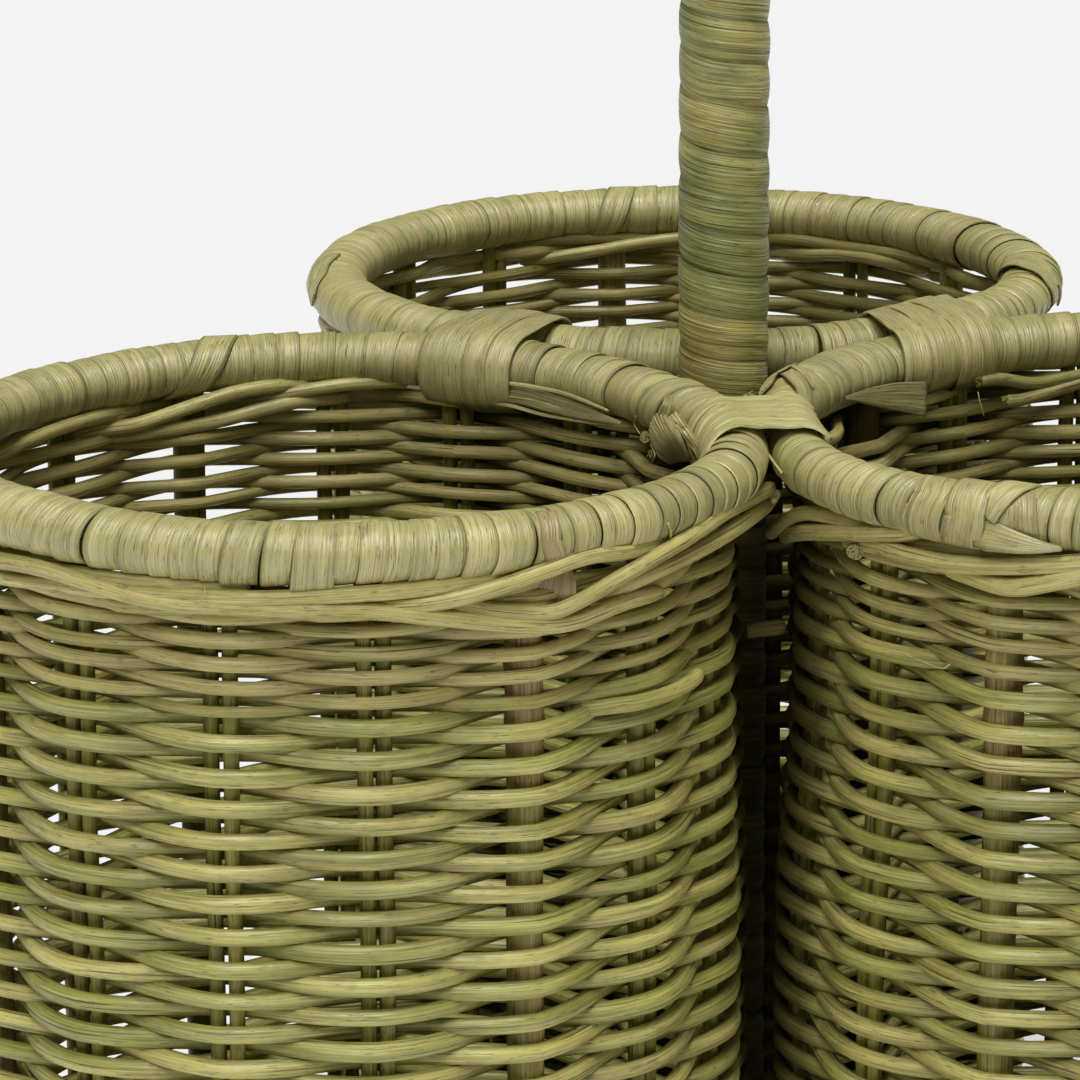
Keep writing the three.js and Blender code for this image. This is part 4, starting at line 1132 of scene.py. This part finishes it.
loop_wrap = Bag()
for sgn in (1, -1):
    ctrl = [(0.6, FORK_Z + 1.5), (3.6, FORK_Z + 4.3)]
    ctrl += [(LOOP_R * math.cos(math.radians(t)), LOOP_Z + LOOP_R * math.sin(math.radians(t))) for t in np.arange(-LEAN, 90.1, 130 / 8)]
    line = spline([P3 + np.array([sgn * x, 0, z]) for x, z in ctrl], 90)
    helix(loop_wrap, rng, line, 6.45, 5.4, 5.7, lambda pos: look_of(rng, 0.6, 0.32, spread=0.10), thick=0.5, section=PEEL_ROUND)
loop_wrap.make("handle_loop_wrapping", M_POLE, ("handle_loop_wrap",))

cane = Bag()
line = np.stack([np.full(40, POLE[0]), np.full(40, POLE[1]), np.linspace(2.05, 250, 40)], 1)
cane.tube(line, np.array([[1.0, 0, 0]]).repeat(40, 0), 5.6, look_of(rng, 0.3, 0.4), sides=16, along=(3, 3))
for sgn in (1, -1):
    ctrl = [(0.0, FORK_Z - 8), (0.9, FORK_Z - 1.6), (3.6, FORK_Z + 4.3)]
    ctrl += [(LOOP_R * math.cos(math.radians(t)), LOOP_Z + LOOP_R * math.sin(math.radians(t))) for t in np.arange(-LEAN, 90.1, 130 / 8)]
    line = spline([P3 + np.array([sgn * x, 0, z]) for x, z in ctrl], 80)
    cane.tube(line, np.array([[0, 1.0, 0]]).repeat(80, 0), 5.6, look_of(rng, 0.3, 0.4), sides=16, along=(3, 3))
cane.make("handle_core", M_POST, ("handle_cane",))

fork = Bag()
for i, z in enumerate(np.arange(245.2, 262.5, 2.9)):
    spread_x = np.interp(z, [245, 254, 263], [0.0, 0.8, 6.6])
    n = 40
    a = np.arange(n) * TAU / n
    rx, ry = 6.9 + spread_x, 6.9
    x = np.sign(np.cos(a)) * np.abs(np.cos(a)) ** (1 if spread_x < 1 else 0.8) * rx
    path = P3 + np.stack([x, np.sin(a) * ry, np.full(n, z) + 0.8 * a / TAU], 1)
    nn = np.stack([np.cos(a) / rx, np.sin(a) / ry, np.zeros(n)], 1)
    sec = PEEL.copy()
    sec[:, 0] += 0.3 * sec[:, 1]
    fork.sweep(path, unit(nn), sec, (0.42, 1.75), look_of(rng, 0.55, 0.35, spread=0.12), closed=True,
               along=(rng.uniform(0, 900), rng.uniform(0, 60)))
fork.make("handle_fork_lashing", M_PEEL, ("handle_fork_binding",))

for name, z0, z1, r0, node in (("pole_packing_top", 158.8, 166.2, 7.6, "handle_rim_packing"), ("pole_packing_low", 12.6, 23.4, 7.6, "handle_base_packing")):
    pk = Bag()
    for i, z in enumerate(np.arange(z0 + 0.8, z1, 1.9)):
        n = 48
        a = np.arange(n) * TAU / n
        path = P3 + np.stack([r0 * np.cos(a), r0 * np.sin(a), z + 0.3 * np.sin(a + i)], 1)
        nn = np.stack([np.cos(a), np.sin(a), 0 * a], 1)
        pk.sweep(path, nn, oval(8), (0.9, 1.0), look_of(rng, 0.3, 0.5, 0.6), closed=True, along=(rng.uniform(0, 900), 7))
    pk.make(name, M_PEEL, (node,))

# ---- peel ends stuffed between the pole and the rims ----------------------------------------------
rng = np.random.default_rng(260)
stuff = Bag()
for i in range(70):
    a0 = rng.uniform(0, TAU)
    z0 = 165.8 + rng.uniform(0, 1.2)
    r0 = rng.uniform(7.0, 8.4)
    span_a = rng.uniform(0.2, 0.7)
    k = np.linspace(0, 1, 14)
    a = a0 + span_a * (k - 0.5)
    r = r0 + 0.9 * np.sin(k * math.pi + rng.uniform(-0.6, 0.6)) - 0.7
    z = z0 + rng.normal(0, 0.5) * (k - 0.5) * 2 - 1.0 * (k - 0.5) ** 2
    path = np.stack([POLE[0] + r * np.cos(a), POLE[1] + r * np.sin(a), z], 1)
    nn = np.stack([np.cos(a) * 0.5, np.sin(a) * 0.5, 0 * a + 0.85], 1)
    stuff.sweep(path, nn, PEEL_FLAT, np.stack([np.full(14, 0.16), rng.uniform(0.15, 0.5) * (1 - 0.5 * np.abs(2 * k - 1))], 1),
                look_of(rng, 0.5, 0.35, rng.uniform(0.1, 0.6), brown=0.2, spread=0.15), along=(rng.uniform(0, 900), rng.uniform(0, 60)))
stuff.make("pole_stuffing", M_PEEL)

# ---- nails through the rims, with their points inside the wrapping ------------------------------------
steel = bpy.data.materials.new("nail_steel")
steel.use_nodes = True
nt = steel.node_tree
bs = nt.nodes["Principled BSDF"]
bs.inputs["Metallic"].default_value = 0.9
bs.inputs["Base Color"].default_value = (0.13, 0.095, 0.06, 1)
rust = nt.nodes.new("ShaderNodeTexNoise")
rust.inputs["Scale"].default_value = 900.0
span = nt.nodes.new("ShaderNodeMapRange")
for k, val in enumerate((0.3, 0.7, 0.38, 0.72)):
    span.inputs[k + 1].default_value = val
nt.links.new(rust.outputs["Fac"], span.inputs[0])
nt.links.new(span.outputs[0], bs.inputs["Roughness"])
for ob in bpy.data.objects:
    if ob.type == "MESH" and ob.name.split(".")[0].endswith("_base_nail"):
        if not ob.material_slots:
            ob.data.materials.append(steel)
        for sl in ob.material_slots:
            sl.material = steel
for cell in CELL:
    a = math.radians(CELL[cell])
    e3 = np.array([math.cos(a), math.sin(a), 0])
    nail = Bag()
    # from near the pole axis through the rim, its flat end under the inner turns of peel
    s = np.linspace(2.5, CELL_DIST - 54.4, 14)
    r = np.interp(s, [2.5, 4.2, 14.6, 15.0, 15.3, 15.6], [0.12, 0.75, 0.75, 0.8, 1.3, 1.35])
    path = np.array([MID[0], MID[1], RIM_Z]) + e3 * s[:, None]
    nail.sweep(path, np.array([[0, 0, 1.0]]).repeat(14, 0), oval(14), np.stack([r, r], 1), np.array([0.5, 0, 0, 0]))
    nail.make(f"{cell}_rim_nail_steel", steel, (f"{cell}_rim_nail",))

# ---- pegs ---------------------------------------------------------------------------------------
for name, direction in (("left_right_tie_peg", 270), ("left_back_tie_peg", 150), ("right_back_tie_peg", 30)):
    rng = np.random.default_rng(300 + direction)
    a = math.radians(direction)
    e = np.array([math.cos(a), math.sin(a), 0])
    q = np.array([-math.sin(a), math.cos(a), 0])
    s = np.linspace(-2.7, 2.7, 12)
    path = np.array([MID[0], MID[1], 140.0]) + e * (CELL_DIST / 2 + 0.2 * np.sin(s))[:, None] + q * s[:, None] \
        + np.array([0, 0, 1.0]) * (0.12 * s)[:, None]
    pg = Bag()
    rr = 1.12 * (1 - 0.15 * np.clip((np.abs(s) - 2.2) / 0.5, 0, 1))
    pg.tube(path, np.array([[0, 0, 1.0]]).repeat(12, 0), rr, look_of(rng, 0.35, 0.3, 0.55, brown=0.2), sides=10, wobble=0.05, rng=rng)
    pg.make(name + "_stub", M_POST, (name,))

# ---- loose strands, tails and cut ends ----------------------------------------------------------
rng = np.random.default_rng(400)
loose = Bag()


def wall_strand(cell, pixels, radius, r, look, n=60, far=False, ends=0.75):
    pts = [on_wall(cell, u, v, R, far) for (u, v), R in zip(pixels, radius)]
    path = spline(pts, n)
    c = centre(cell)
    nrm = np.concatenate([path[:, :2] - c, np.zeros((n, 1))], 1)
    taper = np.interp(np.linspace(0, 1, n), [0, 0.03, 0.97, 1], [ends, 1, 1, ends])
    loose.sweep(path, nrm, oval(8, 0.03, rng), np.stack([r * 0.92 * taper, r * 1.05 * taper], 1), look,
                along=(rng.uniform(0, 900), rng.uniform(0, 60)))


STRAND = look_of(rng, 0.72, 0.15, spread=0.03)
# long strands that run up under the left rim toward the junction
wall_strand("left", [(345, 607), (400, 606), (440, 602), (490, 590), (545, 571), (589, 556), (635, 550), (670, 541)],
            [56.4, 57.8, 58.6, 59.2, 59.6, 59.6, 59.2, 58.0], 1.15, STRAND)
wall_strand("left", [(420, 586), (458, 603), (500, 611), (546, 613), (573, 604), (614, 581), (655, 557), (690, 536), (722, 514), (752, 498), (771, 487)],
            [56.6, 57.6, 58.4, 59.0, 59.4, 59.8, 60.0, 59.9, 59.6, 59.0, 58.0], 1.12, STRAND + [0.03, 0, 0, 0], n=80)
wall_strand("left", [(590, 601), (620, 588), (650, 574), (680, 560), (712, 543), (742, 524), (766, 505), (776, 494)],
            [56.8, 57.6, 58.4, 59.0, 59.5, 59.5, 59.0, 58.2], 1.05, STRAND)
wall_strand("left", [(60, 585), (120, 592), (200, 597), (260, 599), (330, 596), (410, 590), (480, 580), (540, 572)],
            [57.0, 57.8, 58.4, 58.6, 58.6, 58.4, 58.0, 57.0], 1.1, STRAND)
wall_strand("left", [(-30, 556), (30, 566), (80, 580), (140, 598), (210, 606), (300, 610), (380, 612), (440, 618), (520, 625), (570, 623), (620, 604), (660, 592)],
            [58.0, 58.3, 58.3, 58.3, 58.6, 58.6, 58.3, 58.4, 58.8, 59.0, 58.6, 57.4], 1.12, STRAND, n=90)
wall_strand("right", [(770, 534), (786, 520), (806, 513), (836, 518), (870, 530), (900, 536)],
            [57.6, 58.8, 59.5, 59.3, 58.6, 57.2], 1.05, STRAND)
wall_strand("right", [(784, 536), (800, 532), (830, 532), (870, 533), (902, 533), (930, 528)],
            [57.4, 58.4, 59.4, 59.4, 59.0, 57.6], 1.15, STRAND)
wall_strand("right", [(846, 540), (878, 546), (910, 556), (950, 564), (1000, 566), (1050, 565), (1120, 560)],
            [57.2, 58.6, 59.3, 59.4, 59.3, 59.0, 58.6], 1.2, STRAND)
wall_strand("right", [(940, 562), (975, 578), (1010, 587), (1050, 582), (1120, 566)],
            [56.8, 58.2, 59.0, 59.0, 58.6], 1.25, STRAND + [0.12, 0, 0, 0])
wall_strand("left", [(40, 566), (80, 573), (130, 580), (190, 586), (250, 590)], [56.8, 57.4, 57.6, 57.4, 56.8], 1.0, STRAND - [0.3, 0, 0, 0])
wall_strand("left", [(-30, 470), (0, 455), (30, 440), (61, 428), (101, 416), (140, 409)], [54.6, 53.0, 51.2, 50.8, 51.4, 54.2], 1.0, STRAND - [0.22, 0, 0, 0], far=True, ends=0.5)
wall_strand("left", [(64, 440), (100, 430), (138, 424), (190, 407), (233, 393), (280, 385), (330, 383)], [54.8, 52.6, 50.9, 50.5, 50.5, 51.0, 54.2], 1.05, STRAND - [0.08, 0, 0, 0],
            far=True, ends=0.5)
wall_strand("left", [(80, 440), (115, 436), (153, 432), (214, 422), (260, 410), (302, 401), (350, 397)], [55.0, 53.0, 51.4, 50.8, 50.8, 51.2, 54.4], 1.05, STRAND - [0.2, -0.1, 0, 0],
            far=True, ends=0.5)
wall_strand("left", [(240, 402), (270, 396), (300, 391), (350, 384), (410, 381)], [54.6, 52.0, 51.0, 51.0, 54.2], 1.0, STRAND - [0.2, 0, 0, 0], far=True, ends=0.5)
# the same under the far side of the back rim
wall_strand("back", [(520, 262), (560, 256), (600, 250), (640, 243), (690, 237), (740, 238)], [54.6, 51.6, 50.8, 50.8, 51.4, 54.4], 1.0, STRAND - [0.12, 0, 0, 0], far=True, ends=0.5)
wall_strand("back", [(500, 246), (545, 241), (600, 238), (660, 238), (720, 241)], [54.6, 52.4, 52.0, 52.4, 54.6], 0.95, STRAND - [0.42, -0.2, -0.3, 0], far=True, ends=0.5)
wall_strand("back", [(740, 236), (790, 239), (840, 246), (900, 255), (950, 268)], [54.4, 51.4, 51.0, 51.4, 54.4], 0.95, STRAND - [0.3, -0.2, -0.1, 0], far=True, ends=0.5)
wall_strand("back", [(770, 252), (810, 254), (850, 255), (890, 262), (930, 270)], [54.4, 51.2, 50.6, 51.0, 54.4], 1.05, STRAND - [0.15, -0.1, 0, 0], far=True, ends=0.5)
# a bright strand end on the left cell
wall_strand("left", [(570, 712), (590, 709), (612, 706), (640, 702), (672, 692), (690, 682), (700, 673)], [53.6, 54.8, 56.6, 57.9, 58.3, 58.6, 58.6], 1.08,
            np.array([0.8, 0.75, 0.0, 0.0]), n=34)
# strands with ragged ends inside the right cell, just under its rim
DULL = np.array([0.4, 0.5, 0.25, 0.0])
wall_strand("right", [(980, 381), (1000, 379), (1030, 383), (1055, 380), (1100, 371)], [49.6, 50.0, 50.2, 50.3, 50.4], 0.95, DULL, n=40, far=True)
wall_strand("right", [(1006, 401), (1020, 400), (1050, 392), (1095, 378)], [49.2, 49.6, 50.0, 50.2], 0.95, DULL, n=40, far=True)
for (u0, v0), r0, count, look_ in (((984, 382), 49.8, 16, DULL + [0.1, 0.1, 0, 0]), ((1010, 401), 49.4, 12, DULL + [0.15, 0.1, 0, 0]), ((650, 452), 49.0, 9, np.array([0.3, 0.9, 0.35, 0.0]))):
    for i in range(count):
        du, dv = rng.uniform(-9, -2), rng.uniform(-5, 6)
        if r0 == 49.0:
            du, dv = rng.uniform(-6, 6), rng.uniform(-2, 9)
        pix = [(u0 + 3, v0 + rng.uniform(-3, 3)), (u0 + du * 0.5, v0 + dv * 0.3 + rng.uniform(-2, 2)), (u0 + du, v0 + dv)]
        pts = [on_wall("right" if r0 != 49.0 else "left", u, v, r0 - q_ * rng.uniform(0.2, 1.0), True) for (u, v), q_ in zip(pix, (0, 0.6, 1))]
        path = spline(pts, 10)
        w_ = rng.uniform(0.10, 0.24)
        loose.sweep(path, np.array([[0.2, -0.9, 0.3]]).repeat(10, 0), oval(5), np.stack([np.full(10, 0.10), w_ * (1 - 0.5 * np.linspace(0, 1, 10))], 1), np.clip(look_, 0, 1),
                    along=(rng.uniform(0, 900), 3))
# stray fibres
for pixels, rads, cell_, far_ in (
    ([(978, 392), (980, 402), (984, 416)], [48.4, 47.8, 47.8], "right", True),
    ([(640, 434), (634, 424), (636, 416)], [47.8, 47.2, 47.0], "left", True),
    ([(650, 444), (655, 455), (652, 462)], [47.8, 47.2, 47.4], "left", True),
    ([(205, 588), (203, 598), (196, 604)], [60.0, 60.6, 60.4], "left", False),
    ([(760, 440), (765, 449), (773, 461), (782, 473)], [63.4, 63.2, 63.0, 62.8], "right", False),
    ([(905, 654), (940, 668), (950, 664)], [58.6, 59.2, 58.8], "right", False),
):
    pts = [on_wall(cell_, u, v, R, far_) for (u, v), R in zip(pixels, rads)]
    path = spline(pts, 18)
    thin = 0.14 if pixels[0][0] == 760 else 0.06
    loose.sweep(path, np.array([[0.3, -0.9, 0.3]]).repeat(18, 0), oval(6), (thin, thin * 1.4), np.array([0.95, 0.15, 0.0, 0.0]),
                along=(rng.uniform(0, 900), 3))
loose.make("loose_weavers", M_THIN)

# cut cane ends that face outward, with open pores
end_mat = bpy.data.materials.new("cane_end_grain")
end_mat.use_nodes = True
nt = end_mat.node_tree
bs = nt.nodes["Principled BSDF"]
uvn = nt.nodes.new("ShaderNodeUVMap")
uvn.uv_map = "Strand"
vor = nt.nodes.new("ShaderNodeTexVoronoi")
vor.inputs["Scale"].default_value = 3.0
nt.links.new(uvn.outputs[0], vor.inputs["Vector"])
pore = nt.nodes.new("ShaderNodeMapRange")
for k, val in enumerate((0.30, 0.46, 0.0, 1.0)):
    pore.inputs[k + 1].default_value = val
nt.links.new(vor.outputs["Distance"], pore.inputs[0])
mx = nt.nodes.new("ShaderNodeMix")
mx.data_type = "RGBA"
mx.inputs[6].default_value = lin(44, 40, 14)
mx.inputs[7].default_value = lin(142, 137, 82)
nt.links.new(pore.outputs[0], mx.inputs[0])
nt.links.new(mx.outputs[2], bs.inputs["Base Color"])
bs.inputs["Roughness"].default_value = 0.6
ends = Bag()
for cell_, (u, v), r0, far_, rad_ in (("right", (855, 552), 1.12, False, (54.5, 59.8)), ("left", (645, 438), 0.74, True, (52.5, 48.2))):
    p0, p1 = on_wall(cell_, u, v - 3, rad_[0], far_), on_wall(cell_, u, v, rad_[1], far_)
    path = p0 + (p1 - p0) * np.linspace(0, 1, 12)[:, None]
    ends.tube(path, np.array([[0, 0, 1.0]]).repeat(12, 0), r0, np.array([0.6, 0.3, 0.15, 0.0]), sides=14, wobble=0.05, rng=rng, along=(7, 7))
ends.make("cut_cane_ends", end_mat)

# tails of peel inside the cells
tails = Bag()


def inner_tail(cell, pixels, rads, widths, look, thick=0.36, section=None, n=30, dirt_and_shade=(0.2, 0.2), face=(0.0, -1.0, 0.25), tilt=0.0, lift=0.0):
    pts = [on_wall(cell, u, v, R, True) for (u, v), R in zip(pixels, rads)]
    path = spline(pts, n) + np.array(face) * lift
    half = np.interp(np.linspace(0, 1, n), np.linspace(0, 1, len(widths)), widths) / 2
    sec = (PEEL_FLAT if section is None else section).copy()
    sec[:, 0] += tilt * sec[:, 1]
    tails.sweep(path, np.array([face]).repeat(n, 0), sec, np.stack([np.full(n, thick), half], 1), edged(look, sec, *dirt_and_shade),
                along=(rng.uniform(0, 900), rng.uniform(0, 60)))


# a split tail that hangs from the lashing on the left
inner_tail("left", [(492, 393), (520, 395), (545, 402), (580, 412), (622, 424)], [50.6, 50.0, 49.6, 49.5, 49.9], [2.8, 2.9, 2.7, 1.9, 0.5], np.array([0.2, 0.4, 0.5, 0.15]), dirt_and_shade=(0.0, 0.0))
inner_tail("left", [(494, 382), (515, 384), (540, 388), (566, 394), (609, 411)], [50.4, 49.7, 49.3, 49.3, 49.8], [0.5, 0.65, 0.6, 0.6, 0.35], np.array([0.85, 0.25, 0.0, 0.0]), thick=0.3)
inner_tail("left", [(494, 403), (512, 406), (545, 415), (592, 423), (620, 424)], [50.4, 49.7, 49.3, 49.4, 49.8], [0.5, 0.6, 0.55, 0.45, 0.3], np.array([0.7, 0.35, 0.1, 0.0]), thick=0.3)
inner_tail("left", [(500, 396), (530, 400), (560, 408)], [50.0, 49.5, 49.3], [0.25, 0.35, 0.25], np.array([0.5, 0.35, 0.2, 0.0]), thick=0.25)
# a curled tail below the junction's inner side
LEFT_EDGE = np.array([(668, 412), (663, 411), (658, 413), (654, 417), (651.5, 423), (650, 429), (650, 436), (652, 443), (656, 449)], float)
N_TAIL = 15
for i in range(N_TAIL):
    f_ = i / (N_TAIL - 1)
    u, v = (np.interp(f_ * 8, np.arange(9), LEFT_EDGE[:, k]) for k in (0, 1))
    u1, v1 = 691 - 21 * f_, 460 + 3 * f_
    um, vm = u * 0.55 + u1 * 0.45 - 1.5 * f_, v * 0.55 + v1 * 0.45 + 1.0
    up = 1.3 * math.sin(math.pi * (0.15 + 0.75 * f_))
    lk = np.tile(np.array([rng.uniform(0.55, 0.9), 0.25, rng.uniform(0.0, 0.15), 0.15]), (24, 1))
    # painted shade: each strip darkens toward its end, where it lies deeper behind the rim
    lk[:, 2] = np.clip(lk[:, 2] + 0.55 * np.linspace(0, 1, 24) ** 3.0, 0, 1)
    inner_tail("left", [(u, v), (u * 0.8 + um * 0.2, v * 0.8 + vm * 0.2), (um, vm), (u1, v1)], [50.0 - 0.4 * up, 49.5 - 0.8 * up, 49.3 - up, 50.4], [0.36, 0.62, 0.66, 0.45], lk, n=24,
               thick=0.2, dirt_and_shade=(0.5, 0.1), face=(-0.5 + 0.5 * f_, -0.85, 0.3), tilt=0.2)
for du in (0, 2.6, 5.0):
    inner_tail("left", [(666 + du * 1.1, 396), (664 + du * 1.2, 404), (660 + du * 1.6, 414)], [50.2, 49.2, 48.7], [0.3, 0.5, 0.5], np.array([0.3 + du * 0.05, 0.4, 0.25, 0.15]), thick=0.28,
               dirt_and_shade=(0.6, 0.2))
for (u0, v0), (u1, v1), w_, sh in (((676, 425), (699, 459), 0.34, 0.6), ((672, 415), (703, 461), 0.40, 0.9), ((675, 413), (703, 457), 0.36, 1.0), ((679, 415), (702, 452), 0.30, 0.75)):
    inner_tail("left", [(u0, v0), (u0 * 0.65 + u1 * 0.35 + 1, v0 * 0.65 + v1 * 0.35), (u0 * 0.3 + u1 * 0.7 + 1, v0 * 0.3 + v1 * 0.7), (u1, v1)], [47.6, 47.0, 47.2, 48.8],
               [w_ * 1.1, w_ * 1.2, w_, w_ * 0.6], np.array([sh, 0.2, 0.0, 0.0]), thick=0.2, dirt_and_shade=(0.5, 0.2))
# stray fibres below the front edge of the strap
for pixels in ([(764, 431), (770, 434), (777, 437)], [(783, 431), (789, 433), (796, 437)]):
    pts = [on_level(u, v, z_) for (u, v), z_ in zip(pixels, (169.5, 169.0, 168.0))]
    path = spline(pts, 12)
    tails.sweep(path, np.array([[0.1, -0.3, 0.9]]).repeat(12, 0), oval(6), (0.10, 0.13), np.array([0.9, 0.15, 0.0, 0.0]), along=(rng.uniform(0, 900), 5))
# a leaf of peel inside the right cell
inner_tail("right", [(846, 398), (870, 397), (900, 397), (926, 399)], [50.4, 49.9, 49.2, 48.4], [0.6, 2.2, 4.0, 5.2], np.array([0.15, 0.9, 0.2, 0.1]), thick=0.25,
           dirt_and_shade=(0.3, 0.5), tilt=0.5)
# the reddish strip's end, below the left rim and under the loose strands
pts = [on_wall("left", u, v, R) for (u, v), R in (((558, 570), 57.6), ((557, 580), 58.0), ((555, 592), 58.1), ((552, 603), 57.4))]
path = spline(pts, 18)
half = np.interp(np.linspace(0, 1, 18), [0, 0.3, 0.8, 1], [2.0, 2.6, 3.0, 2.3])
tails.sweep(path, np.array([[0.05, -0.95, 0.1]]).repeat(18, 0), PEEL_FLAT, np.stack([np.full(18, 0.3), half], 1), edged(np.array([0.4, 0.1, 0.14, 0.7]), PEEL_FLAT, 0.3, 0.5),
            along=(133, 29))
# a pale tail that lies below the right rim, on the outside
pts = [on_wall("right", u, v, R) for (u, v), R in (((975, 533), 60.4), ((990, 536), 60.9), ((1018, 543), 60.9), ((1040, 547), 60.5), ((1062, 549), 60.0))]
path = spline(pts, 26)
sec = PEEL_FLAT.copy()
half = np.interp(np.linspace(0, 1, 26), [0, 0.2, 0.6, 1], [1.9, 2.1, 1.3, 0.3])
tails.sweep(path, np.array([[0.05, -0.95, 0.1]]).repeat(26, 0), sec, np.stack([np.full(26, 0.35), half], 1), edged(np.array([0.6, 0.3, 0.06, 0.05]), sec, 0.5, 0.3),
            along=(311, 17))
tails.make("loose_peel_tails", M_PEEL)

# ---- stage and light ----------------------------------------------------------------------------
floor_me = bpy.data.meshes.new("floor")
S = 30.0
floor_me.from_pydata([(-S, -S, 0), (S, -S, 0), (S, S, 0), (-S, S, 0)], [], [(0, 1, 2, 3)])
floor_mat = bpy.data.materials.new("floor_paper")
floor_mat.use_nodes = True
fb = floor_mat.node_tree.nodes["Principled BSDF"]
fb.inputs["Base Color"].default_value = (0.858, 0.861, 0.883, 1)
fb.inputs["Roughness"].default_value = 0.9
fb.inputs["Specular IOR Level"].default_value = 0.1
floor_me.materials.append(floor_mat)
floor = bpy.data.objects.new("floor", floor_me)
floor.location.z = -0.0005
bpy.context.scene.collection.objects.link(floor)

world = bpy.data.worlds.new("studio")
bpy.context.scene.world = world
world.use_nodes = True
world.node_tree.nodes["Background"].inputs[0].default_value = (1.0, 0.975, 0.82, 1)
world.node_tree.nodes["Background"].inputs[1].default_value = 0.16


def sun(name, strength, angle, toward):
    data = bpy.data.lights.new(name, "SUN")
    data.energy = strength
    data.angle = math.radians(angle)
    ob = bpy.data.objects.new(name, data)
    d = -unit(np.array(toward, float))
    from mathutils import Vector
    ob.rotation_euler = Vector(d).to_track_quat("-Z", "Y").to_euler()
    bpy.context.scene.collection.objects.link(ob)


sun("key", 1.30, 28, (-0.30, -0.80, 1.15))
sun("top", 1.80, 26, (0.04, -0.12, 1.0))
bpy.context.scene.view_settings.view_transform = "Standard"
bpy.context.scene.view_settings.look = "None"
